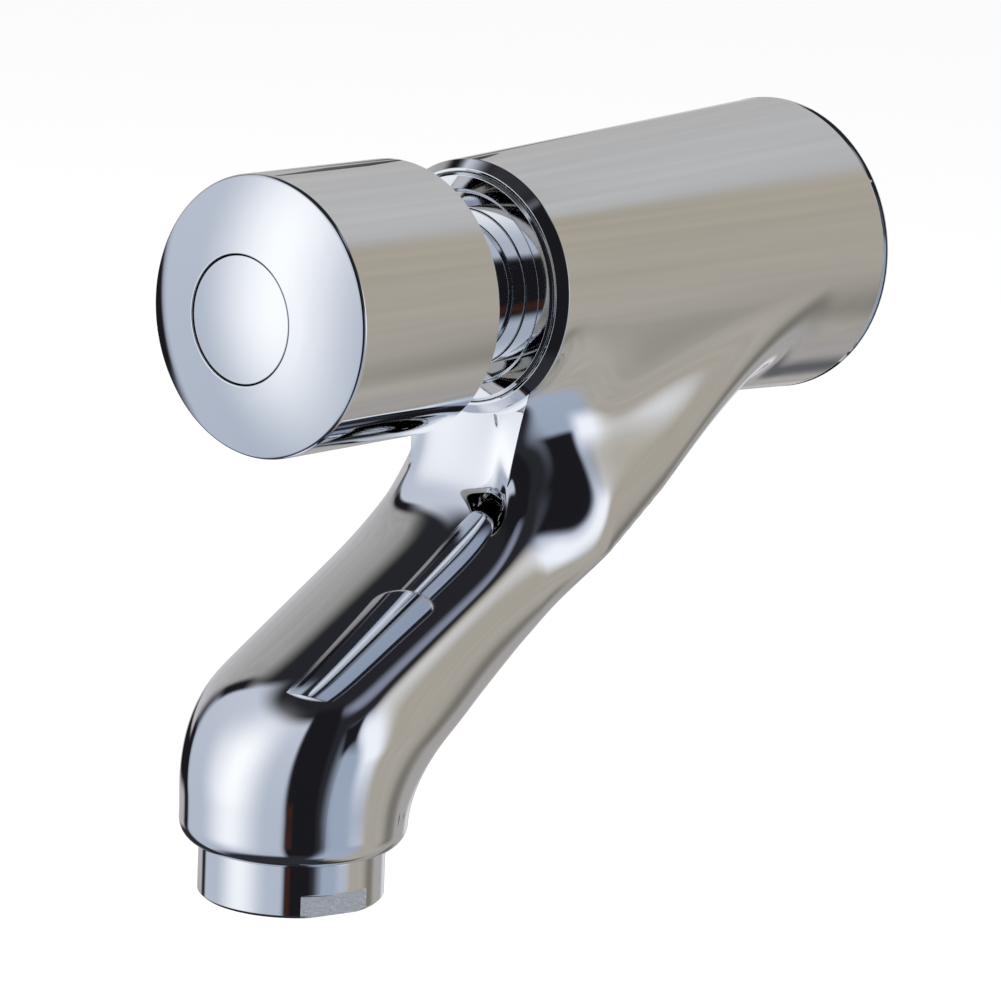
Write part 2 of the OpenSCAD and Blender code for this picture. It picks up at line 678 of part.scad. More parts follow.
module button_screw() {
    socket_af = 3;
    socket_depth = 1.8;
    color(steel_colour)
    difference() {
        union() {
            bar(screw_head_d, screw_seat_out, screw_seat_out + screw_head_h);
            bar(screw_d, screw_seat_out - screw_length, screw_seat_out + past);
        }
        along_barrel() translate([0, 0, screw_seat_out + screw_head_h - socket_depth])
            cylinder(r = socket_af / sqrt(3), h = socket_depth + past, $fn = 6);
    }
}

module neck_sleeve() {
    bevel = 0.5;
    color(chrome_colour)
    difference() {
        turned([[0, piston_front_out], [neck_d / 2 - bevel, piston_front_out],
            [neck_d / 2, piston_front_out + bevel], [neck_d / 2, neck_front_out - bevel],
            [neck_d / 2 - bevel, neck_front_out], [0, neck_front_out]]);
        bar(neck_bore, piston_front_out - past, neck_front_out - neck_wall);
        bar(screw_d + 4 * slip, piston_front_out, neck_front_out + past);
    }
}

module push_stem() {
    thread_end = 0.5;
    drill_spare = 2;
    color(brass_colour)
    difference() {
        union() {
            bar(stem_thread_d, nut_back_out - thread_end, washer_front_out + past);
            bar(stem_thin_d, washer_front_out, piston_front_out + past);
            bar(stem_d, piston_front_out, stem_front_out);
        }
        bar(screw_d + 2 * slip, screw_seat_out - screw_length - drill_spare, stem_front_out + past);
    }
}

module stem_washer() {
    color(fibre_colour)
    tube(stem_d, screw_d + 4 * slip, stem_front_out, stem_front_out + stem_washer_t);
}

module bonnet_ring() {
    bevel = 0.4;
    flange_r = bonnet_flange_d / 2;
    color(chrome_colour)
    difference() {
        turned([[0, bonnet_back_out], [bonnet_thread_d / 2, bonnet_back_out],
            [bonnet_thread_d / 2, bonnet_floor_out], [flange_r, bonnet_floor_out],
            [flange_r, face_out - bevel], [flange_r - bevel, face_out], [0, face_out]]);
        bar(bush_d + 2 * slip, bonnet_back_out + bush_step, face_out + past);
        bar(cylinder_d + 2 * free_gap, bonnet_back_out - past, face_out);
        turned([[0, face_out - bevel], [bush_d / 2 + slip, face_out - bevel],
            [bush_d / 2 + slip + bevel, face_out], [bush_d / 2 + slip + bevel, face_out + past],
            [0, face_out + past]]);
    }
}

neck_ring_out = bonnet_back_out + bush_step + neck_ring_inset;
neck_ring_d = neck_d + neck_ring_t + 4 * running;
module guide_bush() {
    groove_spare = 0.6;
    groove = neck_ring_t + groove_spare;
    color(chrome_colour)
    difference() {
        bar(bush_d, bonnet_back_out + bush_step, face_out - bush_recess);
        bar(neck_d + 2 * running, bonnet_back_out, face_out);
        bar(neck_ring_d + neck_ring_t + 2 * slip, neck_ring_out - groove / 2,
            neck_ring_out + groove / 2);
    }
}

module neck_oring() {
    rubber_ring(neck_ring_d, neck_ring_t, neck_ring_out);
}

flange_ring_out = bonnet_back_out - cartridge_flange_t / 2;
flange_ring_d = bonnet_thread_d - cartridge_ring_t;
barrel_ring_out = mix(gallery_front_out, bonnet_back_out - cartridge_flange_t, 0.6);
barrel_ring_d = cartridge_d - cartridge_ring_t;
groove_share = 1.3;
module ring_groove(mean_d, at) {
    tube(mean_d + 4 * cartridge_ring_t, mean_d - cartridge_ring_t - 2 * slip,
        at - cartridge_ring_t * groove_share / 2, at + cartridge_ring_t * groove_share / 2);
}

module cartridge_housing() {
    drain_count = 4;
    drain_edge = 0.5;
    drain_turn = 45;
    drain_at = (cylinder_d + spring_d + wire_d) / 4;
    drain_d = (cylinder_d - spring_d - wire_d) / 2 - 2 * drain_edge;
    color(brass_colour)
    difference() {
        union() {
            bar(cartridge_d, cartridge_back_out, bonnet_back_out);
            bar(cartridge_flange_d, bonnet_back_out - cartridge_flange_t + slip, bonnet_back_out);
        }
        bar(cylinder_d, cartridge_back_out - past, seat_front_out);
        bar(flow_d, cartridge_back_out, divider_out);
        bar(stem_thin_d + 2 * running, divider_out - past, spring_back_out + past);
        bar(cylinder_d, spring_back_out, bonnet_back_out + past);
        ring_groove(flange_ring_d, flange_ring_out);
        ring_groove(barrel_ring_d, barrel_ring_out);
        for (i = [0 : window_count - 1])
            rotate([0, 360 * i / window_count, 0])
            translate([-window_width / 2, -divider_out + (flow_length - window_length) / 2, 0])
            cube([window_width, window_length, cartridge_d]);
        for (i = [0 : drain_count - 1])
            rotate([0, drain_turn + 360 * i / drain_count, 0])
            translate([drain_at, 0, 0])
            bar(drain_d, divider_out - past, spring_back_out + past);
        translate([timing_pin_at, 0, 0]) bar(timing_pin_d, divider_out - past, spring_back_out + past);
    }
}

module flange_oring() {
    rubber_ring(flange_ring_d, cartridge_ring_t, flange_ring_out);
}
module cartridge_oring() {
    rubber_ring(barrel_ring_d, cartridge_ring_t, barrel_ring_out);
}

seal_wall = 1.6;
module metering_piston() {
    groove_from = piston_back_out + (piston_length - seal_groove) / 2;
    color(plastic_colour)
    difference() {
        bar(cylinder_d - 2 * free_gap, piston_back_out, piston_front_out);
        bar(stem_thin_d, piston_back_out - past, piston_front_out + past);
        tube(cylinder_d + past, cylinder_d - 2 * seal_wall, groove_from, groove_from + seal_groove);
        translate([timing_pin_at, 0, 0])
            bar(metering_hole_d, piston_back_out - past, piston_front_out + past);
    }
}

// Cup seal: its lip opens towards the button, so the cylinder fills fast and empties slowly.
module piston_seal() {
    from = piston_back_out + (piston_length - seal_groove) / 2 + slip;
    to = from + seal_groove - 2 * slip;
    outer = cylinder_d / 2 - running;
    inner = cylinder_d / 2 - seal_wall;
    mid = (outer + inner) / 2;
    heel_inset = 0.25;
    heel_t = 0.9;
    lip_t = 0.5;
    valley_half = 0.1;
    color(rubber_colour)
    turned([[inner, from], [outer - heel_inset, from], [outer, to], [outer - lip_t, to],
        [mid + valley_half, from + heel_t], [mid - valley_half, from + heel_t],
        [inner + lip_t, to], [inner, to]]);
}

module timing_pin() {
    pin_end = 1;
    color(steel_colour)
    translate([timing_pin_at, 0, 0]) bar(timing_pin_d, divider_out, piston_front_out + pin_end);
}

// The spring is one tube that follows the curls, with its ends turned flat on their seats.
curl_steps = 8;
wire_sides = 6;
spring_room = 0.15;
spring_from = spring_back_out + wire_d / 2 + spring_room;
spring_to = piston_back_out - wire_d / 2 - spring_room;
spring_steps = spring_curls * curl_steps;
function curl_turn(i) = 360 * i / curl_steps;
// The first and the last curl climb by just over the wire, the others share the rest.
end_gap = 0.45;
end_pitch = wire_d + end_gap;
mid_pitch = (spring_to - spring_from - 2 * end_pitch) / (spring_curls - 2);
function curl_out(c) =
    c < 1 ? spring_from + end_pitch * c :
    c > spring_curls - 1 ? spring_to - end_pitch * (spring_curls - c) :
    spring_from + end_pitch + mid_pitch * (c - 1);
function spring_point(i) =
    [spring_d / 2 * cos(curl_turn(i)), -curl_out(i / curl_steps), spring_d / 2 * sin(curl_turn(i))];
wire_lean = atan(mid_pitch / (PI * spring_d));
function wire_ring(i) =
    let (p = spring_point(i), t = curl_turn(i), side = [cos(t), 0, sin(t)],
        up = [sin(wire_lean) * sin(t), -cos(wire_lean), -sin(wire_lean) * cos(t)])
    [for (k = [0 : wire_sides - 1])
        let (a = 360 * k / wire_sides)
        p + wire_d / 2 * (cos(a) * side + sin(a) * up)];
spring_gap = min([for (c = [0 : 1 / curl_steps : spring_curls - 1])
    (curl_out(c + 1) - curl_out(c)) * cos(wire_lean) - wire_d]);
echo(least_gap_between_curls = spring_gap);

module return_spring() {
    rings = [for (i = [0 : spring_steps]) wire_ring(i)];
    n = len(rings);
    color(steel_colour)
    polyhedron(
        points = [for (r = rings) each r],
        faces = concat(
            [for (i = [0 : n - 2]) each strip(i * wire_sides, (i + 1) * wire_sides, wire_sides, true)],
            [[for (k = [wire_sides - 1 : -1 : 0]) k]],
            [[for (k = [0 : wire_sides - 1]) (n - 1) * wire_sides + k]]));
}

seat_ring_t = 1.3;
seat_ring_d = (chamber_d + cylinder_d) / 2;
module valve_seat() {
    lip_r = seat_hole_d / 2 + seat_lip_w;
    lip_bevel_r = 0.3;
    lip_foot = 0.6;
    color(brass_colour)
    difference() {
        union() {
            bar(cylinder_d - 2 * slip, cartridge_back_out, seat_front_out);
            turned([[0, lip_back_out], [lip_r - lip_bevel_r, lip_back_out],
                [lip_r, lip_back_out + lip_bevel_r], [lip_r + lip_foot, cartridge_back_out + past],
                [0, cartridge_back_out + past]]);
        }
        bar(seat_hole_d, lip_back_out - past, seat_front_out + past);
        tube(seat_ring_d + seat_ring_t + 2 * slip, seat_ring_d - seat_ring_t - 2 * slip,
            cartridge_back_out - past, cartridge_back_out + seat_ring_t + slip);
    }
}

module seat_oring() {
    rubber_ring(seat_ring_d, seat_ring_t, cartridge_back_out + seat_ring_t / 2 + slip / 2);
}

module valve_washer() {
    color(rubber_colour)
    tube(washer_d, stem_thread_d, head_front_out, washer_front_out);
}

module valve_head() {
    bevel = 0.6;
    color(brass_colour)
    difference() {
        turned([[0, nut_front_out], [head_d / 2 - bevel, nut_front_out],
            [head_d / 2, nut_front_out + bevel], [head_d / 2, head_front_out],
            [0, head_front_out]]);
        bar(stem_thread_d, nut_front_out - past, head_front_out + past);
    }
}

module valve_nut() {
    color(steel_colour)
    difference() {
        along_barrel() translate([0, 0, nut_back_out])
            cylinder(r = valve_nut_af / sqrt(3), h = valve_nut_t, $fn = 6);
        bar(stem_thread_d, nut_back_out - past, nut_front_out + past);
    }
}

// Threaded nipple. A run-out groove at the wall face parts its free thread from the one inside.
module inlet_tail() {
    bevel = 1;
    groove_from = 0.2;
    groove_to = 1.4;
    groove_depth = 0.6;
    groove_r = tail_d / 2 - groove_depth;
    color(brass_colour)
    difference() {
        turned([[0, -tail_out], [tail_d / 2 - bevel, -tail_out], [tail_d / 2, -tail_out + bevel],
            [tail_d / 2, -groove_from], [groove_r, -groove_from], [groove_r, groove_to],
            [tail_d / 2, groove_to], [tail_d / 2, tail_in - bevel], [tail_d / 2 - bevel, tail_in],
            [0, tail_in]]);
        bar(tail_bore, -tail_out - past, tail_in - tail_socket_depth);
        along_barrel() translate([0, 0, tail_in - tail_socket_depth - past])
            cylinder(r = tail_socket_af / sqrt(3), h = tail_socket_depth + 2 * past, $fn = 6);
        bar(strainer_rim_d + 2 * slip, -tail_out - past, -tail_out + strainer_rim_t);
    }
}

module inlet_strainer() {
    cup_d = tail_bore - 4 * slip;
    cup_wall = 0.8;
    slot_count = 8;
    slot_width = 1.6;
    slot_edge = 0.5;
    hole_d = 1.6;
    hole_pitch = 3;
    slot_length = strainer_length - strainer_rim_t - cup_wall - 2 * slot_edge;
    color(grey_plastic_colour)
    difference() {
        union() {
            bar(strainer_rim_d, -tail_out, -tail_out + strainer_rim_t);
            bar(cup_d, -tail_out, -tail_out + strainer_length);
        }
        bar(cup_d - 2 * cup_wall, -tail_out - past, -tail_out + strainer_length - cup_wall);
        for (i = [0 : slot_count / 2 - 1])
            rotate([0, 360 * i / slot_count, 0])
            translate([-slot_width / 2, tail_out - strainer_length + cup_wall + slot_edge, -tail_bore])
            cube([slot_width, slot_length, 2 * tail_bore]);
        for (x = [-1 : 1], z = [-1 : 1])
            translate([x * hole_pitch, 0, z * hole_pitch])
            bar(hole_d, -tail_out, -tail_out + strainer_length + past);
    }
}

module wall_gasket() {
    color(rubber_colour)
    tube(gasket_d, gasket_bore, 0, gasket_t);
}

module aerator_housing() {
    bevel = 0.5;
    inside_low = collar_low_z + aerator_lip_h;
    color(chrome_colour)
    difference() {
        union() {
            translate([0, -reach, 0]) rotate_extrude()
                polygon([[0, collar_low_z], [aerator_d / 2 - bevel, collar_low_z],
                    [aerator_d / 2, collar_low_z + bevel], [aerator_d / 2, spout_low_z],
                    [0, spout_low_z]]);
            outlet_bar(aerator_thread_d, spout_low_z - past, aerator_top_z);
        }
        outlet_bar(aerator_bore, inside_low, aerator_top_z + past);
        outlet_bar(aerator_bore - 2 * aerator_lip, collar_low_z - past, inside_low + past);
        for (side = [0, 180])
            translate([0, -reach, 0])
            rotate([0, 0, flat_turn + side - 90])
            translate([aerator_d / 2 - flat_depth, -aerator_d / 2, collar_low_z - past])
            cube([aerator_d, aerator_d, flat_height + past]);
    }
}

module aerator_washer() {
    inner_lip = 1.5;
    color(rubber_colour)
    outlet_tube(aerator_thread_d - 2 * slip, aerator_bore - 2 * inner_lip, aerator_top_z,
        outlet_floor_z);
}

insert_d = aerator_bore - 2 * slip;
screen_low_z = collar_low_z + aerator_lip_h;
insert_low_z = screen_low_z + outlet_screen_t;
insert_high_z = aerator_top_z - inlet_screen_t;

// Perforated disc at the top of the aerator: rings of holes round its middle.
module inlet_screen() {
    hole_d = 1.4;
    hole_pitch = 2.1;
    solid_edge = 1;
    hole_rows = floor((insert_d / 2 - solid_edge - hole_d / 2) / hole_pitch);
    color(steel_colour)
    difference() {
        outlet_bar(insert_d, insert_high_z, aerator_top_z);
        for (row = [1 : hole_rows], i = [0 : 6 * row - 1])
            translate([row * hole_pitch * cos(60 * i / row),
                -reach + row * hole_pitch * sin(60 * i / row), insert_high_z - past])
            cylinder(d = hole_d, h = inlet_screen_t + 2 * past, $fn = 16);
    }
}

// Cage of the aerator: a jet plate on a rim, with cross ribs below it.
module aerator_insert() {
    rim_wall = 1.3;
    plate_t = 1.6;
    plate_drop = 2;
    rib_count = 3;
    rib_t = 1;
    rib_h = 4;
    jet_count = 12;
    jet_d = 1.6;
    jet_at = 0.75 * (insert_d / 2 - rim_wall);
    rib_l = insert_d - rim_wall;
    plate_z = insert_high_z - plate_drop - plate_t;
    color(grey_plastic_colour)
    difference() {
        union() {
            outlet_tube(insert_d, insert_d - 2 * rim_wall, insert_low_z, insert_high_z);
            outlet_bar(rib_l, plate_z, plate_z + plate_t);
            for (i = [0 : rib_count - 1])
                translate([0, -reach, insert_low_z])
                rotate([0, 0, 180 * i / rib_count])
                translate([-rib_l / 2, -rib_t / 2, 0])
                cube([rib_l, rib_t, rib_h]);
        }
        for (i = [0 : jet_count - 1])
            translate([jet_at * cos(360 * i / jet_count), -reach + jet_at * sin(360 * i / jet_count),
                plate_z - past / 2])
            cylinder(d = jet_d, h = plate_t + past, $fn = 16);
    }
}

// Flat net at the mouth. A gap is cut where all of it lies inside the rim.
module outlet_screen() {
    step = mesh_gap + mesh_bar;
    reach_n = floor(insert_d / 2 / step);
    rim_margin = 0.2;
    rim_r = aerator_bore / 2 - aerator_lip - rim_margin;
    color(steel_colour)
    difference() {
        outlet_bar(insert_d, screen_low_z, insert_low_z);
        for (i = [-reach_n : reach_n], j = [-reach_n : reach_n])
            if (norm([abs(i) * step + mesh_gap / 2, abs(j) * step + mesh_gap / 2]) < rim_r)
                translate([i * step - mesh_gap / 2, -reach + j * step - mesh_gap / 2,
                    screen_low_z - past])
                cube([mesh_gap, mesh_gap, outlet_screen_t + 2 * past]);
    }
}

body();
push_button();
index_disc();
button_screw();
neck_sleeve();
push_stem();
stem_washer();
bonnet_ring();
guide_bush();
neck_oring();
cartridge_housing();
flange_oring();
cartridge_oring();
metering_piston();
piston_seal();
timing_pin();
return_spring();
valve_seat();
seat_oring();
valve_washer();
valve_head();
valve_nut();
inlet_tail();
inlet_strainer();
wall_gasket();
aerator_housing();
aerator_washer();
inlet_screen();
aerator_insert();
outlet_screen();
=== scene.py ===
"""Looks of a wall-mounted push tap: cast body, button, collar, outlet and stage, around the fixed frame."""

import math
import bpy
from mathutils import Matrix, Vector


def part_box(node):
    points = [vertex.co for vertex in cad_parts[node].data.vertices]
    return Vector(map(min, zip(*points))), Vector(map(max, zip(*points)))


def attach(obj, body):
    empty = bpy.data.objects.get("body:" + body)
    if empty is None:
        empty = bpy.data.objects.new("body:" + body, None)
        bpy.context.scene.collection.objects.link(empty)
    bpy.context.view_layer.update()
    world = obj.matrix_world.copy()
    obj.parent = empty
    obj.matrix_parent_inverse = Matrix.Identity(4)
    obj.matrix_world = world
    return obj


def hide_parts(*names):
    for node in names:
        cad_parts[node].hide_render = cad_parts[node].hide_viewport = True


bl_info = {
    "name": "Push tap finish",
    "version": (1, 0, 0),
    "blender": (4, 5, 0),
    "location": "View3D > Sidebar > Tap",
    "description": "Models and finishes the visible pieces of a wall-mounted push tap",
    "category": "Object",
}

from typing import NamedTuple

import bpy
import numpy as np
from bpy.props import FloatProperty, FloatVectorProperty, IntProperty, PointerProperty
from mathutils import Matrix, Vector

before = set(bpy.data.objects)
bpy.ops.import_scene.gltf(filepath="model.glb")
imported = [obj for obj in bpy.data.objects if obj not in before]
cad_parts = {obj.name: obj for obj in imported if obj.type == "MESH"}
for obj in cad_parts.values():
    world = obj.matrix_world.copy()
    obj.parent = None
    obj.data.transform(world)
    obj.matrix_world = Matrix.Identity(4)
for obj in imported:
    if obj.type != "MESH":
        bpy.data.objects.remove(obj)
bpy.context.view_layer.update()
MM = 0.001

FIXED_BODY = "tap_body"
MOVING_BODY = "push_assembly"

BODY_LOW, BODY_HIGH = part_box("body")
BUTTON_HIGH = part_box("push_button")[1]
DISC_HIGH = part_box("index_disc")[1]
NECK_LOW, NECK_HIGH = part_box("neck_sleeve")
BONNET_LOW, BONNET_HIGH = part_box("bonnet_ring")
BUSH_LOW, BUSH_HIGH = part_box("guide_bush")
COLLAR_LOW, COLLAR_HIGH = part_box("aerator_housing")
TAIL_LOW, TAIL_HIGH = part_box("inlet_tail")
REACH = -(COLLAR_LOW.y + COLLAR_HIGH.y) / 2
FLANGE_THICKNESS = 2.4 * MM


def length(name, description, millimetres):
    """A length that the user can change."""
    return FloatProperty(name=name, description=description, default=millimetres * MM, unit="LENGTH")


def angle(name, description, degrees):
    """An angle that the user can change."""
    return FloatProperty(name=name, description=description, default=math.radians(degrees), subtype="ANGLE")


def colour(name, description, value):
    """A colour that the user can change."""
    return FloatVectorProperty(name=name, description=description, subtype="COLOR", default=value)


class CastingSizes(bpy.types.PropertyGroup):
    """Sizes of the cast barrel and spout."""

    edge_out: length("Barrel length", "Wall face to the barrel's front edge", 73.2)
    front_radius: length("Front radius", "Radius of the barrel at its front edge", 18.7)
    lip_height: length("Lip height", "Height of the bevelled lip in front of the edge", 1.4)
    lip_radius: length("Lip radius", "Radius at which the lip's bevel ends", 17.4)
    lower_edge: length("Spout drop", "Depth of the spout's lower edge below the axis", 77.6)
    end_radius: length("End radius", "Radius of the spout's round end", 16.4)
    bend_width: length("Bend width", "Width of the spout at its bend", 34.4)
    root_width: length("Root width", "Width of the spout where it leaves the barrel", 36.4)
    front_slope: angle("Front slope", "Slope of the spout's front line below level", 28)
    rear_slope: angle("Rear slope", "Slope of the spout's rear line below level", 38)
    front_bend: length("Front bend", "Radius of the bend in the front line", 19.7)
    rear_bend: length("Rear bend", "Radius of the bend in the rear line", 16.5)
    front_rise: length("Front rise", "Height of the front bend's centre above the lower edge", 8.2)
    rear_rise: length("Rear rise", "Height of the rear bend's centre above the lower edge", 0.6)
    skirt_round: length("Lower round", "Radius of the round on the spout's lower edge", 3.4)
    power: FloatProperty(
        name="Squareness", description="Power of the spout's section: 2 is an ellipse", default=2.3)
    web_width: length("Web width", "Width of the web between barrel and spout", 30)
    web_stand: length(
        "Web stand", "How far the web's rounded front stands in front of the barrel's edge", 2.2)
    web_round: length("Web round", "Length over which the web's front is rounded", 16)
    web_flare: FloatProperty(
        name="Web flare", default=-0.15,
        description="How much each side of the web widens, or narrows below 0, on its way up to the barrel")
    web_flare_drop: length("Flare drop", "Depth below the axis at which the flare starts", 24.7)
    web_top: length("Web top", "Depth of the web's top below the axis", 12)
    barrel_blend: length("Barrel blend", "Size of the blend between the web and the barrel", 8)
    spout_blend: length("Spout blend", "Size of the blend between the web and the spout", 11)
    relax_rounds: IntProperty(
        name="Relax rounds", description="Rounds that even out the web's skin", default=140, min=0)
    points: IntProperty(
        name="Points", description="Points round one ring of the barrel", default=264, min=48)


class ButtonSizes(bpy.types.PropertyGroup):
    """Sizes of the push button and its disc."""

    side: length("Side", "Length of the button's side, up to the dome's rim line", 28.6)
    dome: length("Dome", "Height of the domed face", 4.7)
    rim_round: length("Rim round", "Radius of the round between side and face", 0.8)
    wall: length("Wall", "Thickness of the button's side", 2.2)
    edge_round: length("Edge round", "Radius of the rounds on the rear rim", 0.35)
    socket_wall: length("Socket wall", "Thickness of the socket round the neck", 1.85)
    neck_socket: length("Socket depth", "Length of the socket that holds the neck", 8)
    disc_gap: length("Disc gap", "Gap round the disc", 0.22)
    disc_sink: length("Disc sink", "How far the disc lies below the face", 0.30)
    disc_round: length("Disc round", "Radius of the rounds on both sides of the gap", 0.16)


class CollarSizes(bpy.types.PropertyGroup):
    """Sizes of the rings in the barrel's front."""

    bevel: length("Bevel", "Width of the bevels on the bonnet ring's face", 0.4)
    bevel_round: length("Bevel round", "Radius of the rounds at the bevels", 0.1)
    flange_step: length("Flange step", "How far the flange stands over the thread", 1.3)


class OutletSizes(bpy.types.PropertyGroup):
    """Sizes of the collar at the outlet."""

    flat_turn: angle(
        "Flat direction", "Direction of the ground flats round the outlet, from the tap's side", -18)
    flat_depth: length("Flat depth", "Depth of the flats below the collar's side", 1.1)
    flat_height: length("Flat height", "Height of the flats", 3.3)
    bevel: length("Bevel", "Width of the bevel at the lower edge", 0.5)
    lip: length("Lip", "Width of the lip that holds the screen", 0.9)
    lip_height: length("Lip height", "Height of the lip", 1.0)
    thread_radius: length("Thread radius", "Radius of the collar's thread", 12.0)


class ThreadSizes(bpy.types.PropertyGroup):
    """Sizes of the inlet tail and its thread."""

    pitch: length("Pitch", "Distance between two turns of the thread", 1.814)
    depth: length("Depth", "Height of the thread's ridge", 1.162)
    foot: length("Foot", "Width of the ridge at its foot", 1.6)
    crest: length("Crest", "Width of the ridge at its crest", 0.3)
    free_end: length("Free end", "Distance from the wall face to the end of the thread", 0.2)
    bore: length("Bore", "Radius of the tail's bore", 6.5)


class StageLevels(bpy.types.PropertyGroup):
    """Light of the stage."""

    world: FloatProperty(
        name="World", description="Level of the plain grey surroundings", default=0.85)
    key: FloatProperty(
        name="Key", description="Power of the large lamp from above", default=9.0, unit="POWER")
    fill: FloatProperty(
        name="Fill", description="Power of the lamp from the left", default=4.0, unit="POWER")
    floor_lift: FloatProperty(
        name="Floor lift", description="Light that the floor adds where the camera sees it", default=0.18)
    floor_drop: length("Floor drop", "Depth of the floor below the barrel's axis", 250)


class FinishColours(bpy.types.PropertyGroup):
    """Colours of the finishes."""

    chrome: colour("Chrome", "Colour of the chrome plating", (0.80, 0.815, 0.84))
    brass: colour("Brass", "Colour of the turned brass", (0.72, 0.52, 0.24))
    rubber: colour("Rubber", "Colour of the rubber rings", (0.02, 0.02, 0.022))
    steel: colour("Steel", "Colour of the stainless steel", (0.56, 0.57, 0.58))
    acetal: colour("Acetal", "Colour of the white piston", (0.80, 0.80, 0.76))
    plastic: colour("Plastic", "Colour of the grey plastic", (0.34, 0.36, 0.38))
    fibre: colour("Fibre", "Colour of the fibre washer", (0.28, 0.06, 0.035))


# Points and meshes.


def soften(points, steps=4):
    """Rounds the corners of a profile. Each point is (along, radius, round); a round of 0 stays sharp."""
    made = []
    for index, (along, radius, size) in enumerate(points):
        corner = Vector((along, radius))
        if size <= 0 or index in (0, len(points) - 1):
            made.append(corner)
            continue
        back = (Vector(points[index - 1][:2]) - corner).normalized()
        ahead = (Vector(points[index + 1][:2]) - corner).normalized()
        half = back.angle(ahead) / 2
        centre = corner + (back + ahead).normalized() * size / math.sin(half)
        start = corner + back * size / math.tan(half) - centre
        end = corner + ahead * size / math.tan(half) - centre
        guard = 0.2 * size
        turn = start.angle(end)
        made.append(centre + start + back * guard)
        for step in range(steps + 1):
            t = step / steps
            start_share = math.sin((1 - t) * turn) / math.sin(turn)
            end_share = math.sin(t * turn) / math.sin(turn)
            made.append(centre + start * start_share + end * end_share)
        made.append(centre + end + ahead * guard)
    return made


def around(along, radius, angle):
    """Points on a circle round the barrel's axis, at a distance out from the wall."""
    return np.stack([radius * np.sin(angle), np.full(len(angle), -along), radius * np.cos(angle)], 1)


class Skin:
    """Points and faces of a mesh that grows row by row."""

    def __init__(self):
        self.points = np.zeros((0, 3))
        self.faces = []

    def add(self, points):
        """Adds a row of points and gives their numbers."""
        first = len(self.points)
        self.points = np.concatenate([self.points, points])
        return np.arange(first, len(self.points))

    def join(self, rows):
        """Adds the faces between closed rows of point numbers. A row of one point is a pole."""
        for first, second in zip(rows, rows[1:]):
            corners = [first, np.roll(first, -1), np.roll(second, -1), second]
            if len(first) == 1:
                corners = corners[1:]
            elif len(second) == 1:
                corners = corners[:3]
            self.faces += np.stack(np.broadcast_arrays(*corners), 1).tolist()


def add_object(name, data):
    """A new object in the scene."""
    made = bpy.data.objects.new(name, data)
    bpy.context.scene.collection.objects.link(made)
    return made


def make_piece(name, points, faces):
    """A smooth mesh object whose faces point outwards."""
    mesh = bpy.data.meshes.new(name)
    mesh.from_pydata([tuple(p) for p in points], [], faces)
    mesh.validate()
    mesh.calc_loop_triangles()
    co = np.array([v.co for v in mesh.vertices])
    tris = np.array([t.vertices for t in mesh.loop_triangles])
    volume = np.einsum("ij,ij->i", co[tris[:, 0]], np.cross(co[tris[:, 1]], co[tris[:, 2]])).sum()
    if volume < 0:
        mesh.flip_normals()
    mesh.polygons.foreach_set("use_smooth", [True] * len(mesh.polygons))
    mesh.update()
    return add_object(name, mesh)


def turned(name, profile, segments=192, closed=False):
    """A solid of revolution. A profile that starts and ends on the axis is closed with poles."""
    angle = np.linspace(0, 2 * math.pi, segments, endpoint=False)
    skin = Skin()
    rows = [skin.add(around(along, radius, angle if radius > 0 else angle[:1])) for along, radius in profile]
    skin.join(rows + rows[:1] if closed else rows)
    return make_piece(name, skin.points, skin.faces)


def dress(piece, material, body, *nodes):
    """Gives a piece its material and its body, and hides the CAD nodes that it stands for."""
    piece.data.materials.clear()
    piece.data.materials.append(material)
    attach(piece, body)
    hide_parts(*nodes)
    return piece


# Form of the casting.


WEB_POWER = 2.2
WEB_LEAN = 6
WEB_TOP_ROUND = 1.5 * MM
EDGE_BLEND = 0.1 * MM
BLEND_RUN_OUT = 12 * MM
WALL_BLEND = 2 * MM
WALL_BLEND_RUN = 42 * MM
CREASE_WIDTH = 14 * MM
NEAR_EDGE = 12 * MM
NEAR_EDGE_FADE = 9 * MM
CENTRE_SINK = 22 * MM
HALVINGS = 36
FARTHEST_SHARE = 3.0
NEARLY_ZERO = 1e-3

WALL_ROUND = 0.35 * MM
EDGE_ROUND = 0.15 * MM
GUARD = 0.12 * MM
FIT_GAP = 0.1 * MM
BONNET_THREAD = 15.5 * MM
BONNET_THREAD_END = 4 * MM
CARTRIDGE_BORE = 14.4 * MM
SUPPLY_BORE = 9.5 * MM
GASKET_BORE = 13 * MM
OUTLET_BORE = 12.05 * MM
OUTLET_BEVEL = 0.2 * MM
WATERWAY = 6 * MM

# Rings of the barrel, their first and last distance from its two ends, and one more near the edge.
BARREL_RINGS = 92
FIRST_RING = 1.6 * MM
LAST_RING = 1.2 * MM
EDGE_RING = 0.6 * MM
WEB_RINGS = 26
SLOPE_RINGS = 48
BEND_RINGS = 56
SKIRT_RINGS = 12
# Rings of the web's front, between it and the slope, and where the slope's start, in shares of its stand.
WEB_START, WEB_END = 0.07, 1.1
WEB_STEPS = (1.18, 1.28, 1.4, 1.55, 1.75, 2.0, 2.3, 2.65, 3.1, 3.6, 4.2)
SLOPE_START = 4.9
ON_CIRCLE = 5e-6
# Where the spout's directions start to be spread evenly, and how fast they get there along the slope.
EVEN_SIDE = math.radians(55)
EVEN_START = 0.3
EVEN_RUN = 10 * MM


def mix(a, b, t):
    """The value at a share t of the way from a to b."""
    return a + (b - a) * t


def fade(value, start, width):
    """0 up to a start, then smoothly up to 1 over a width."""
    t = np.clip((value - start) / width, 0, 1)
    return t * t * (3 - 2 * t)


def smooth_min(a, b, size):
    """The lower of two values, rounded where they meet."""
    h = np.clip(1 - np.abs(a - b) / size, 0, 1)
    return np.minimum(a, b) - size * h * h / 4


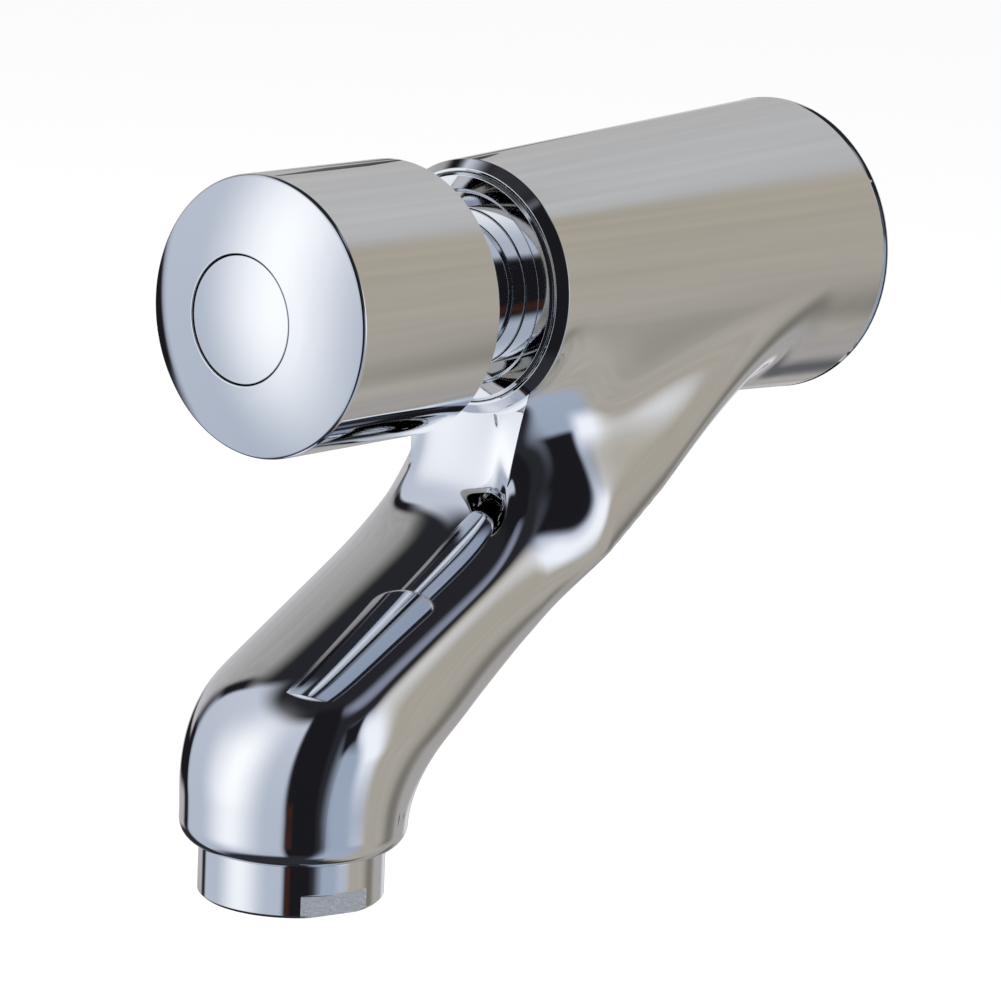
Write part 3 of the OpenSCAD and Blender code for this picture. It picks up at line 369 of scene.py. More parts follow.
def oval(x, y, half_x, half_y, power):
    """About the distance outside an oval, negative inside. A power of 2 is an ellipse, more is squarer."""
    q = ((np.abs(x) / half_x) ** power + (np.abs(y) / half_y) ** power) ** (1 / power)
    return np.hypot(x, y) * (1 - 1 / np.maximum(q, NEARLY_ZERO))


def farthest(inside, low, high):
    """How far each ray stays inside, found by halving between a low and a high guess."""
    for _ in range(HALVINGS):
        middle = (low + high) / 2
        within = inside(middle)
        low, high = np.where(within, middle, low), np.where(within, high, middle)
    return low


class Casting:
    """The cast barrel and spout: rings of points that follow the sizes."""

    def __init__(self, sizes):
        self.s = s = sizes
        self.wall_radius = BODY_HIGH.x
        self.low_z = -s.lower_edge
        self.front_centre = np.array([REACH + s.end_radius - s.front_bend, self.low_z + s.front_rise])
        self.rear_centre = np.array([REACH - s.end_radius - s.rear_bend, self.low_z + s.rear_rise])
        self.front_point = self.front_centre + s.front_bend * np.array(
            [math.sin(s.front_slope), math.cos(s.front_slope)])
        self.rear_point = self.rear_centre + s.rear_bend * np.array(
            [math.sin(s.rear_slope), math.cos(s.rear_slope)])

    def front_z(self, out):
        """Height of the slope's front line."""
        return self.front_point[1] + (self.front_point[0] - out) * math.tan(self.s.front_slope)

    def rear_z(self, out):
        """Height of the slope's rear line."""
        return self.rear_point[1] + (self.rear_point[0] - out) * math.tan(self.s.rear_slope)

    def half_width(self, out):
        """Half of the slope's width."""
        return mix(self.s.root_width, self.s.bend_width, np.clip(out / self.front_point[0], 0, 1)) / 2

    def web(self, out, x, z):
        """Negative inside the web: a post with a rounded front, whose sides lean with the flare."""
        s = self.s
        half = s.web_width / 2 + s.web_flare * np.maximum(z + s.web_flare_drop, 0)
        ahead = np.maximum(out - (s.edge_out + s.web_stand - s.web_round), 0)
        return oval(x, ahead, half, s.web_round, WEB_POWER)

    def section(self, out, x, z):
        """A section across the barrel: a value that is negative inside, and the distance from the crease."""
        s = self.s
        top, low = self.front_z(out), self.rear_z(out)
        middle, half_height = (top + low) / 2, max((top - low) / 2, MM)
        barrel = np.hypot(x, z) - mix(self.wall_radius, s.front_radius, out / s.edge_out)
        spout = oval(x, z - middle, self.half_width(out), half_height, s.power)
        web = np.maximum(self.web(out, x, z), np.maximum(z + s.web_top, middle - z))
        barrel_blend = mix(s.barrel_blend, EDGE_BLEND, fade(out, s.edge_out - BLEND_RUN_OUT, BLEND_RUN_OUT))
        spout_blend = mix(WALL_BLEND, s.spout_blend, fade(out, 0, WALL_BLEND_RUN))
        joined = smooth_min(smooth_min(barrel, web, barrel_blend), spout, spout_blend)
        return joined, np.abs(barrel - np.minimum(web, spout))

    def barrel_ring(self, out):
        """One ring of the barrel, and how near each of its points is to the crease."""
        count = self.s.points
        centre = -CENTRE_SINK * fade(out, 0, self.s.edge_out)
        angle = np.arange(count) * 2 * math.pi / count
        dx, dz = np.sin(angle), np.cos(angle)
        run = farthest(lambda r: self.section(out, r * dx, centre + r * dz)[0] < 0,
                       np.zeros(count), np.full(count, self.s.lower_edge))
        points = np.stack([run * dx, np.full(count, -out), centre + run * dz], 1)
        return points, 1 - fade(self.section(out, points[:, 0], points[:, 2])[1], 0, CREASE_WIDTH)

    def front_part(self, middle, way, r, spout_r):
        """Negative inside the web and the spout, in front of the barrel's edge."""
        s = self.s
        step = way * r[:, None]
        x, out, z = step[:, 0], middle[0] + step[:, 1], middle[1] + step[:, 2]
        spout = np.linalg.norm(step, axis=1) * (1 - spout_r / np.maximum(r, NEARLY_ZERO))
        top = s.front_radius + WEB_LEAN * np.maximum(out - s.edge_out, 0) - np.hypot(x, z)
        web = -smooth_min(-self.web(out, x, z), -top, WEB_TOP_ROUND)
        return smooth_min(spout, np.maximum(web, middle[1] - z), s.spout_blend)

    def spout_ring(self, turn, front, rear, half_width, power, has_web=False):
        """One ring of the spout between a front and a rear point, (out, z) each."""
        middle, half = (front + rear) / 2, (front - rear) / 2
        r = spout_r = (np.abs(np.sin(turn)) ** power + np.abs(np.cos(turn)) ** power) ** (-1 / power)
        way = np.stack([half_width * np.sin(turn), half[0] * np.cos(turn), half[1] * np.cos(turn)], 1)
        if has_web:
            r = farthest(lambda r: self.front_part(middle, way, r, spout_r) < 0,
                         spout_r, np.full(len(turn), FARTHEST_SHARE))
        step = way * r[:, None]
        return np.stack([step[:, 0], -(middle[0] + step[:, 1]), middle[1] + step[:, 2]], 1)

    def level_ring(self, turn, out, z, radius):
        """One level circle of the spout."""
        return self.spout_ring(turn, np.array([out + radius, z]), np.array([out - radius, z]), radius, 2)

    def front_bend_at(self, f):
        """The point at a share f of the front bend and the straight below it."""
        s = self.s
        skirt = self.low_z + s.skirt_round
        straight = max(0, self.front_centre[1] - skirt)
        run = (1 - f) * (s.front_bend * (math.pi / 2 - s.front_slope) + straight)
        if run < straight:
            return np.array([self.front_centre[0] + s.front_bend, skirt + run])
        turn = (run - straight) / s.front_bend
        return self.front_centre + s.front_bend * np.array([math.cos(turn), math.sin(turn)])

    def rear_bend_at(self, f):
        """The point at a share f of the rear bend."""
        s = self.s
        end = math.asin((self.low_z + s.skirt_round - self.rear_centre[1]) / s.rear_bend)
        turn = mix(math.pi / 2 - s.rear_slope, end, f)
        return self.rear_centre + s.rear_bend * np.array([math.cos(turn), math.sin(turn)])

    def bore_profile(self):
        """Outline of the lip, the recess and the bores, back to the wall face and its gasket groove."""
        s = self.s
        half_gap = FIT_GAP / 2
        flange = BONNET_HIGH.x + FIT_GAP
        recess_floor = -BONNET_LOW.y - FLANGE_THICKNESS
        cartridge_low, cartridge_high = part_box("cartridge_housing")
        thread_end = -cartridge_low.y - BONNET_THREAD_END
        gasket_low, gasket_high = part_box("wall_gasket")
        lip_way = np.array([s.lip_height, s.lip_radius - s.front_radius])
        lip_guard = GUARD * lip_way / np.linalg.norm(lip_way)
        return soften([
            (s.edge_out, s.front_radius, 0),
            (s.edge_out + lip_guard[0], s.front_radius + lip_guard[1], 0),
            (s.edge_out + s.lip_height, s.lip_radius, EDGE_ROUND),
            (s.edge_out + s.lip_height, flange, EDGE_ROUND),
            (recess_floor, flange, 0),
            (recess_floor, BONNET_THREAD + half_gap, 0),
            (thread_end, BONNET_THREAD + half_gap, 0),
            (thread_end, CARTRIDGE_BORE + half_gap, 0),
            (-cartridge_high.y, CARTRIDGE_BORE + half_gap, 0),
            (-cartridge_high.y, SUPPLY_BORE, 0),
            (-TAIL_LOW.y, SUPPLY_BORE, 0),
            (-TAIL_LOW.y, TAIL_HIGH.x + half_gap, 0),
            (0, TAIL_HIGH.x + half_gap, EDGE_ROUND),
            (0, GASKET_BORE - half_gap, EDGE_ROUND),
            (-gasket_low.y, GASKET_BORE - half_gap, 0),
            (-gasket_low.y, gasket_high.x + half_gap, 0),
            (0, gasket_high.x + half_gap, EDGE_ROUND),
            (0, self.wall_radius, WALL_ROUND),
            (WALL_ROUND, self.wall_radius, 0),
        ])[1:-1]

    def spout_rings(self, start, outer_count, floor_z):
        """Rings of the spout from its start at the barrel's edge: slope, bend, lower edge and outlet bore."""
        s = self.s
        front = np.array([s.edge_out, self.front_z(s.edge_out)])
        rear = np.array([s.edge_out, self.rear_z(s.edge_out)])
        middle, half_height = (front[1] + rear[1]) / 2, (front[1] - rear[1]) / 2
        turn = np.unwrap(np.arctan2(start[:, 0] / self.half_width(s.edge_out),
                                    (start[:, 2] - middle) / half_height))
        even = even_turns(turn, outer_count)
        front_run = np.linalg.norm(self.front_point - front)
        runs = np.concatenate([
            [GUARD / 4], np.linspace(WEB_START, WEB_END, WEB_RINGS) * s.web_stand,
            s.web_stand * np.array(WEB_STEPS),
            np.linspace(SLOPE_START * s.web_stand, front_run, SLOPE_RINGS)])
        rings = []
        for run in runs:
            f = run / front_run
            rings.append(self.spout_ring(
                mix(turn, even, min(1, EVEN_START + run / EVEN_RUN)), mix(front, self.front_point, f),
                mix(rear, self.rear_point, f), self.half_width(s.edge_out + run), s.power, has_web=True))
        end_front, end_rear = self.front_bend_at(1), self.rear_bend_at(1)
        end_half, end_out = (end_front[0] - end_rear[0]) / 2, (end_front[0] + end_rear[0]) / 2
        for f in np.arange(1, BEND_RINGS + 1) / BEND_RINGS:
            t = fade(f, 0, 1)
            rings.append(self.spout_ring(even, self.front_bend_at(f), self.rear_bend_at(f),
                                         mix(s.bend_width / 2, end_half, t), mix(s.power, 2, t)))
        for tilt in np.linspace(0, math.pi / 2, SKIRT_RINGS + 1)[1:]:
            rings.append(self.level_ring(even, end_out, self.low_z + s.skirt_round * (1 - math.sin(tilt)),
                                         end_half - s.skirt_round * (1 - math.cos(tilt))))
        for radius, z in ((OUTLET_BORE + OUTLET_BEVEL, self.low_z), (OUTLET_BORE, self.low_z + OUTLET_BEVEL),
                          (OUTLET_BORE, floor_z), (WATERWAY, floor_z)):
            rings.append(self.level_ring(even, REACH, z, radius))
        return rings


def even_turns(turn, outer_count):
    """Spreads the directions on the upper side of the spout evenly."""
    count = len(turn)
    even = turn.copy()
    first = int(np.nonzero(turn[:outer_count] >= EVEN_SIDE)[0].min())
    last = outer_count - 1 - first
    side, steps = turn[first], count - last + first
    early, late = np.arange(first + 1), np.arange(last, count)
    even[early] = side * (2 * (count - last + early) / steps - 1)
    even[late] = 2 * math.pi + side * (2 * (late - last) / steps - 1)
    return even


def web_weight(points, sizes):
    """How much each point gives way when the skin is evened out: not at all at the edges and the outlet."""
    out, z = -points[:, 1], points[:, 2]
    from_edge = np.hypot(np.hypot(points[:, 0], z) - sizes.front_radius, out - sizes.edge_out)
    below_axis = fade(-z, 3 * MM, 8 * MM)
    off_wall = fade(out, 2 * MM, 6 * MM)
    off_edge = fade(from_edge, 0, 3.5 * MM)
    above_outlet = fade(z, -62 * MM, 12 * MM)
    return below_axis * off_wall * off_edge * above_outlet


def relax(points, faces, weight, rounds):
    """Moves each point towards the middle of its neighbours, as far as its weight lets it."""
    quads = np.array([face for face in faces if len(face) == 4])
    edges = np.concatenate([quads[:, [i, (i + 1) % 4]] for i in range(4)])
    edges = np.unique(np.sort(edges, 1), axis=0)
    ends = np.concatenate([edges[:, 0], edges[:, 1]])
    others = np.concatenate([edges[:, 1], edges[:, 0]])
    degree = np.maximum(np.bincount(ends, minlength=len(points)), 1)
    share = (0.5 * weight)[:, None]
    for _ in range(rounds):
        sums = [np.bincount(ends, points[others, axis], len(points)) for axis in range(3)]
        points = points + share * (np.stack(sums, 1) / degree[:, None] - points)
    return points


def split_edge(skin, last, sizes):
    """The circle at the barrel's edge, the spout's start below it, and how many of its points lie outside."""
    count = sizes.points
    front = skin.points[last]
    radius = np.hypot(front[:, 0], front[:, 2])[:count // 2 + 1]
    split = int(np.nonzero(radius < sizes.front_radius + ON_CIRCLE)[0].max())
    side = math.atan2(front[split, 0], front[split, 2])
    lower = count - 2 * split
    angle = mix(-side, side - 2 * math.pi, np.arange(1, lower) / lower)
    bridge = skin.add(around(sizes.edge_out, sizes.front_radius, angle))
    circle = np.concatenate([last[:split + 1], bridge[::-1], last[count - split:]])
    start = np.concatenate([last[split:count - split + 1], bridge])
    return circle, start, lower + 1


def casting_mesh(sizes):
    """Points and faces of the casting: skin, collar, bores and outlet, closed all over."""
    form, skin, edge = Casting(sizes), Skin(), sizes.edge_out
    outs = np.concatenate([[2 * WALL_ROUND], np.linspace(FIRST_RING, edge - LAST_RING, BARREL_RINGS),
                           [edge - EDGE_RING, edge - GUARD, edge]])
    outer, creases = zip(*[form.barrel_ring(out) for out in outs])
    rows = [skin.add(ring) for ring in outer]
    skin.join(rows)
    barrel_end = len(skin.points)
    circle, start, outer_count = split_edge(skin, rows[-1], sizes)
    angle = np.arctan2(skin.points[circle, 0], skin.points[circle, 2])
    bores = [skin.add(around(along, radius, angle)) for along, radius in form.bore_profile()]
    skin.join([circle, *bores, rows[0]])
    spout_start = len(skin.points)
    floor_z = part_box("aerator_washer")[1].z
    spout = [skin.add(ring) for ring in form.spout_rings(skin.points[start], outer_count, floor_z)]
    skin.join([start, *spout])

    near_edge = fade(-skin.points[:barrel_end, 1], edge - NEAR_EDGE, NEAR_EDGE_FADE)
    give = np.concatenate([np.maximum(np.concatenate(creases), near_edge),
                           np.zeros(spout_start - barrel_end), np.ones(len(skin.points) - spout_start)])
    skin.points = relax(skin.points, skin.faces, give * web_weight(skin.points, sizes), sizes.relax_rounds)
    skin.join([spout[-1], skin.add([[0, -REACH, floor_z]])])
    return skin.points, skin.faces


# Turned pieces. FIT is the gap round a piece that sits in another.


FIT = 0.05 * MM
FACE_RINGS = 40
RIM_RINGS = 13
SIDE_RINGS = 12
DISC_RINGS = 14
NECK_RINGS = 16
FLAT_RINGS = 13
OUTLET_POINTS = 240
ON_FLAT = 1e-7
# Angles in radians: from a flat's edge to the point outside it, and the room that every such point keeps.
MARK_STEP = 0.01
MARK_ROOM = 0.012


def face_sphere(sizes):
    """The sphere of the button's face: its centre's distance out from the wall, and its radius."""
    sphere = (BUTTON_HIGH.x ** 2 + sizes.dome ** 2) / (2 * sizes.dome)
    return -BUTTON_HIGH.y + sizes.side + sizes.dome - sphere, sphere


def dome_out(sizes, radius):
    """Distance out of the button's face at a radius."""
    centre, sphere = face_sphere(sizes)
    return centre + math.sqrt(sphere ** 2 - radius ** 2)


def button_profile(sizes):
    """Outline of the push button from its recess round the outside into its hollow skirt."""
    s = sizes
    radius, back = BUTTON_HIGH.x, -BUTTON_HIGH.y
    centre, sphere = face_sphere(s)
    recess, recess_floor = DISC_HIGH.x + s.disc_gap, -DISC_HIGH.y
    face_start = recess + 2 * MM
    points = [(recess_floor, 0.0)] + soften([
        (recess_floor, recess - 0.3 * MM, 0),
        (recess_floor, recess, 0.1 * MM),
        (dome_out(s, recess), recess, s.disc_round),
        (dome_out(s, face_start), face_start, 0),
    ], 6)
    rim_middle, rim_sphere = radius - s.rim_round, sphere - s.rim_round
    rim_start = math.asin(rim_middle / rim_sphere)
    rim_out = centre + math.sqrt(rim_sphere ** 2 - rim_middle ** 2)
    for r in np.linspace(face_start + 0.4 * MM, sphere * math.sin(rim_start) - GUARD, FACE_RINGS):
        points.append((dome_out(s, r), r))
    for turn in np.linspace(rim_start, math.pi / 2, RIM_RINGS):
        points.append((rim_out + s.rim_round * math.cos(turn), rim_middle + s.rim_round * math.sin(turn)))
    points.append((rim_out - 0.25 * MM, radius))
    points += [(along, radius) for along in np.linspace(rim_out - 2 * MM, back + 1.5 * MM, SIDE_RINGS)]
    inner, socket, neck = radius - s.wall, NECK_HIGH.x + s.socket_wall, NECK_HIGH.x + FIT
    socket_floor = -NECK_LOW.y
    bevel = 0.6 * (inner - socket)
    return points + soften([
        (back + 1 * MM, radius, 0),
        (back, radius, s.edge_round),
        (back, inner, s.edge_round),
        (back + 1 * MM, inner, 0),
        (socket_floor - bevel, inner, 0.3 * MM),
        (socket_floor, inner - bevel, 0.3 * MM),
        (socket_floor, socket, 0.4 * MM),
        (socket_floor - s.neck_socket, socket, 0.3 * MM),
        (socket_floor - s.neck_socket, neck, 0.15 * MM),
        (socket_floor, neck, 0),
        (socket_floor, 0.0, 0),
    ])


def disc_profile(sizes):
    """Outline of the disc in the button's face."""
    radius, floor = DISC_HIGH.x, -DISC_HIGH.y
    edge = radius - 1.0 * MM
    points = [(dome_out(sizes, 0) - sizes.disc_sink, 0.0)]
    for r in np.linspace(0.6 * MM, edge - 0.2 * MM, DISC_RINGS):
        points.append((dome_out(sizes, r) - sizes.disc_sink, r))
    points += soften([
        (dome_out(sizes, edge) - sizes.disc_sink, edge, 0),
        (dome_out(sizes, radius) - sizes.disc_sink, radius, sizes.disc_round),
        (floor, radius, 0.1 * MM),
        (floor, radius - 0.6 * MM, 0),
    ], 8)
    return points + [(floor, 0.0)]


def neck_profile():
    """Outline of the polished neck, closed at both ends."""
    back, front, radius = -NECK_HIGH.y, -NECK_LOW.y, NECK_HIGH.x
    bevel, edge_round = 0.5 * MM, 0.12 * MM
    face = radius - bevel
    return [(back, 0.0)] + soften([
        (back, face - 0.6 * MM, 0),
        (back, face, edge_round),
        (back + bevel, radius, edge_round),
        *[(along, radius, 0) for along in np.linspace(back + 3 * MM, front - 3 * MM, NECK_RINGS)],
        (front - bevel, radius, edge_round),
        (front, face, edge_round),
        (front, face - 0.6 * MM, 0),
    ]) + [(front, 0.0)]


def bonnet_profile(sizes):
    """Outline of the bonnet ring, a closed ring: flange, thread, shank and bore."""
    s = sizes
    back, face, radius = -BONNET_HIGH.y, -BONNET_LOW.y, BONNET_HIGH.x
    thread = radius - s.flange_step
    bore, step, inner = BUSH_HIGH.x + FIT, -BUSH_HIGH.y, NECK_HIGH.x + 0.9 * MM
    return soften([
        (face, bore + 1.4 * MM, 0),
        (face, bore + s.bevel, s.bevel_round),
        (face - s.bevel, bore, s.bevel_round),
        (step, bore, 0.1 * MM),
        (step, inner, 0.1 * MM),
        (back, inner, 0.2 * MM),
        (back, thread, 0.3 * MM),
        (face - FLANGE_THICKNESS, thread, 0),
        (face - FLANGE_THICKNESS, radius, 0.15 * MM),
        (face - s.bevel, radius, s.bevel_round),
        (face, radius - s.bevel, s.bevel_round),
        (face, radius - 1.2 * MM, 0),
    ])


def bush_profile(sizes):
    """Outline of the guide bush, a closed ring."""
    s = sizes
    back, face, radius = -BUSH_HIGH.y, -BUSH_LOW.y, BUSH_HIGH.x
    bore = NECK_HIGH.x + 0.06 * MM
    return soften([
        (face, bore + 1.2 * MM, 0),
        (face, bore, s.bevel_round * 1.6),
        (face - 2 * MM, bore, 0),
        (back, bore, 0.2 * MM),
        (back, radius, 0.2 * MM),
        (face - 1 * MM, radius, 0),
        (face, radius, s.bevel_round),
        (face, radius - 0.6 * MM, 0),
    ])


def tail_profile(sizes):
    """Outline of the inlet tail at the foot of its thread, a closed ring."""
    s = sizes
    rear, front, crest = -TAIL_HIGH.y, -TAIL_LOW.y, TAIL_HIGH.x
    root, shoulder, relief = crest - s.depth, 1.4 * MM, crest - 0.6 * MM
    rim, rim_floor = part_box("inlet_strainer")[1].x + FIT, rear + 1.2 * MM
    inner, step = 6 * MM, front - 8 * MM
    return soften([
        (rear, rim, 0.1 * MM),
        (rear, root - 0.6 * MM, 0.15 * MM),
        (rear + 0.7 * MM, root, 0.1 * MM),
        (-s.free_end, root, 0.2 * MM),
        (-s.free_end + 0.5 * MM, relief, 0.15 * MM),
        (shoulder, relief, 0),
        (shoulder, crest, 0),
        (front - 1 * MM, crest, 0.1 * MM),
        (front, crest - 1 * MM, 0.1 * MM),
        (front, inner, 0),
        (step, inner, 0),
        (step, s.bore, 0),
        (rim_floor, s.bore, 0.1 * MM),
        (rim_floor, rim, 0),
    ])


def outlet_collar_mesh(sizes):
    """Points, faces and flat faces of the outlet's collar: a turned ring with two ground flats."""
    s = sizes
    radius, bore = COLLAR_HIGH.x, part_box("aerator_insert")[1].x + FIT
    low, high, side_top = COLLAR_LOW.z, COLLAR_HIGH.z, BODY_LOW.z
    flat, flat_top = radius - s.flat_depth, low + s.flat_height
    lip = bore - s.lip
    profile = soften([
        (low, lip + 1.0 * MM, 0),
        (low, radius - s.bevel, 0.12 * MM),
        (low + s.bevel, radius, 0.12 * MM),
        (flat_top - 0.02 * MM, radius, 0),
    ])
    flat_rows = len(profile)
    profile += [(flat_top, radius)] + soften([
        (flat_top + 0.3 * MM, radius, 0),
        (side_top, radius, 0.1 * MM),
        (side_top, s.thread_radius, 0),
        (high, s.thread_radius, 0.2 * MM),
        (high, bore, 0.1 * MM),
        (low + s.lip_height, bore, 0),
        (low + s.lip_height, lip, 0),
        (low, lip, 0.15 * MM),
        (low, lip + 0.4 * MM, 0),
    ])
    angle = flat_angles(s.flat_turn, math.acos(flat / radius))
    across = np.stack([np.sin(angle), np.cos(angle)], 1)
    facing = np.abs(across @ [math.cos(s.flat_turn), math.sin(s.flat_turn)])
    on_flat = facing * radius > flat - ON_FLAT
    skin, rows, ground = Skin(), [], []
    for row, (z, r) in enumerate(profile):
        limit = np.where((r * facing > flat) & (row < flat_rows), flat / facing, r)
        rows.append(skin.add(np.stack(
            [limit * across[:, 0], limit * across[:, 1] - REACH, np.full(len(angle), z)], 1)))
    for row, here in enumerate(rows):
        ahead = (row + 1) % len(rows)
        if row < flat_rows - 1 and min(profile[row][1], profile[ahead][1]) > flat:
            ground += [len(skin.faces) + i for i in np.nonzero(on_flat & np.roll(on_flat, -1))[0]]
        skin.join([here, rows[ahead]])
    return skin.points, skin.faces, ground


def flat_angles(flat_turn, half):
    """Directions round the collar, with points on both sides of each flat's edges and none close by."""
    marks = []
    for middle in (math.pi / 2 - flat_turn, 1.5 * math.pi - flat_turn):
        marks += [middle - half - MARK_STEP, middle - half, middle + half, middle + half + MARK_STEP]
        marks += [middle + half * t for t in np.linspace(-0.96, 0.96, FLAT_RINGS)]
    spread = np.arange(OUTLET_POINTS) * 2 * math.pi / OUTLET_POINTS
    clear = [a for a in spread if min(abs(math.remainder(a - m, 2 * math.pi)) for m in marks) > MARK_ROOM]
    return np.array(sorted([m % (2 * math.pi) for m in marks] + clear))


def make_outlet_collar(sizes):
    """The outlet's collar with chrome sides and brushed flats."""
    points, faces, ground = outlet_collar_mesh(sizes)
    collar = make_piece("outlet_collar", points, faces)
    dress(collar, chrome("chrome_outlet"), FIXED_BODY, "aerator_housing")
    collar.data.materials.append(brushed_chrome("ground_flats"))
    for index in ground:
        collar.data.polygons[index].material_index = 1
        collar.data.polygons[index].use_smooth = False


def make_thread(sizes, material):
    """The ridge of the inlet's thread, swept along a helix by Geometry Nodes."""
    s = sizes
    ridge = grow(thread_tree(), "tail_thread", {
        "Radius": TAIL_HIGH.x - s.depth / 2 - 0.02 * MM, "Length": TAIL_HIGH.y - s.free_end - 0.7 * MM,
        "Pitch": s.pitch, "Depth": s.depth, "Foot": s.foot, "Crest": s.crest, "Finish": material})
    ridge.data.transform(Matrix.Translation((0, s.free_end, 0)) @ Matrix.Rotation(-math.pi / 2, 4, "X"))
    dress(ridge, material, FIXED_BODY, "inlet_tail")


def thread_tree():
    """Node tree with a ridge that follows a helix. Its sizes are inputs of the tree."""
    tree = bpy.data.node_groups.new("thread_ridge", "GeometryNodeTree")
    face = tree.interface
    for name in ("Radius", "Length", "Pitch", "Depth", "Foot", "Crest"):
        face.new_socket(name, in_out="INPUT", socket_type="NodeSocketFloat")
    face.new_socket("Finish", in_out="INPUT", socket_type="NodeSocketMaterial")
    face.new_socket("Geometry", in_out="OUTPUT", socket_type="NodeSocketGeometry")
    start = add_node(tree, "NodeGroupInput")
    end = add_node(tree, "NodeGroupOutput")
    turns = add_math(tree, "DIVIDE")
    spiral = add_node(tree, "GeometryNodeCurveSpiral", {"Resolution": 144})
    straight = add_node(tree, "GeometryNodeSetCurveNormal", mode="Z_UP")
    factor = add_node(tree, "GeometryNodeSplineParameter")
    from_end = add_math(tree, "SUBTRACT", {0: 1.0})
    nearer = add_math(tree, "MINIMUM")
    run_out = add_node(tree, "ShaderNodeMapRange", {"From Max": 0.06, "To Min": 0.05})
    section = add_node(tree, "GeometryNodeCurvePrimitiveQuadrilateral", {"Offset": 0.0},
                       mode="TRAPEZOID")
    crest_out = add_node(tree, "GeometryNodeTransform", {"Rotation": (0.0, 0.0, math.pi / 2)})
    sweep = add_node(tree, "GeometryNodeCurveToMesh", {"Fill Caps": True})
    smooth = add_node(tree, "GeometryNodeSetShadeSmooth", {"Shade Smooth": False})
    real = add_node(tree, "GeometryNodeRealizeInstances")
    finish = add_node(tree, "GeometryNodeSetMaterial")
    wire(
        tree,
        (start, "Length", turns, 0), (start, "Pitch", turns, 1), (turns, "Value", spiral, "Rotations"),
        (start, "Radius", spiral, "Start Radius"), (start, "Radius", spiral, "End Radius"),
        (start, "Length", spiral, "Height"), (spiral, "Curve", straight, "Curve"),
        (factor, "Factor", from_end, 1), (factor, "Factor", nearer, 0), (from_end, "Value", nearer, 1),
        (nearer, "Value", run_out, "Value"), (start, "Foot", section, "Bottom Width"),
        (start, "Crest", section, "Top Width"), (start, "Depth", section, "Height"),
        (straight, "Curve", sweep, "Curve"), (section, "Curve", crest_out, "Geometry"),
        (crest_out, "Geometry", sweep, "Profile Curve"), (run_out, "Result", sweep, "Scale"),
        (sweep, "Mesh", smooth, "Geometry"), (smooth, "Geometry", real, "Geometry"),
        (real, "Geometry", finish, "Geometry"), (start, "Finish", finish, "Material"),
        (finish, "Geometry", end, "Geometry"))
    return tree


def grow(tree, name, values):
    """Runs a Geometry Nodes tree and gives its result as a plain mesh object."""
    seed = add_object("seed", bpy.data.meshes.new("seed"))
    modifier = seed.modifiers.new("nodes", "NODES")
    modifier.node_group = tree
    for item in tree.interface.items_tree:
        if item.item_type == "SOCKET" and item.in_out == "INPUT" and item.name in values:
            modifier[item.identifier] = values[item.name]
    depsgraph = bpy.context.evaluated_depsgraph_get()
    mesh = bpy.data.meshes.new_from_object(seed.evaluated_get(depsgraph), depsgraph=depsgraph)
    seed.modifiers.clear()
    bpy.data.objects.remove(seed)
    mesh.name = name
    return add_object(name, mesh)


# Nodes and materials.


NODE_STEP = 200
NODE_DROP = 40


def add_node(tree, kind, values=None, **settings):
    """One node with its settings and unlinked values, below the nodes that the tree has."""
    made = tree.nodes.new(kind)
    made.location.y = -NODE_DROP * len(tree.nodes)
    for name, value in settings.items():
        setattr(made, name, value)
    for name, value in (values or {}).items():
        made.inputs[name].default_value = value
    return made


def add_math(tree, operation, values=None, **settings):
    """One node that calculates."""
    return add_node(tree, "ShaderNodeMath", values, operation=operation, **settings)


def wire(tree, *links):
    """Joins nodes. Each link is a node, its output, the next node, put to its right, and that one's input."""
    for node, output, following, socket in links:
        tree.links.new(node.outputs[output], following.inputs[socket])
        following.location.x = max(following.location.x, node.location.x + NODE_STEP)


def polish_nodes(tree, start, end):
    """Fine marks of polishing and wiping on plated metal: a roughness and a height."""
    coords = add_node(tree, "ShaderNodeTexCoord")
    wipe_map = add_node(tree, "ShaderNodeMapping", {"Scale": (1.0, 0.22, 1.0)})
    wipe = add_node(tree, "ShaderNodeTexNoise", {"Detail": 4.0, "Roughness": 0.6})
    peel = add_node(tree, "ShaderNodeTexNoise", {"Scale": 420.0, "Detail": 2.0})
    shade = add_node(tree, "ShaderNodeMapRange", {"From Min": 0.42, "From Max": 0.7})
    spread = add_math(tree, "MULTIPLY")
    total = add_math(tree, "ADD")
    wire(
        tree,
        (coords, "Object", wipe_map, "Vector"), (wipe_map, "Vector", wipe, "Vector"),
        (start, "Scale", wipe, "Scale"), (coords, "Object", peel, "Vector"), (wipe, "Fac", shade, "Value"),
        (shade, "Result", spread, 0), (start, "Smear", spread, 1), (spread, "Value", total, 0),
        (start, "Roughness", total, 1), (total, "Value", end, "Roughness"), (peel, "Fac", end, "Height"))


def finish_ends(tree, start, end, toned, dulled, height, low, high):
    """Ends a finish: one pattern sets its tone, one its dullness between low and high, one its height."""
    tone = add_node(tree, "ShaderNodeMix", data_type="RGBA")
    dull = add_node(tree, "ShaderNodeMapRange", {"To Min": low, "To Max": high})
    total = add_math(tree, "ADD")
    wire(
        tree,
        (toned, "Fac", tone, "Factor"), (start, "Light", tone, "A"), (start, "Dark", tone, "B"),
        (dulled, "Fac", dull, "Value"), (dull, "Result", total, 0), (start, "Roughness", total, 1),
        (tone, "Result", end, "Color"), (total, "Value", end, "Roughness"), (height, "Fac", end, "Height"))


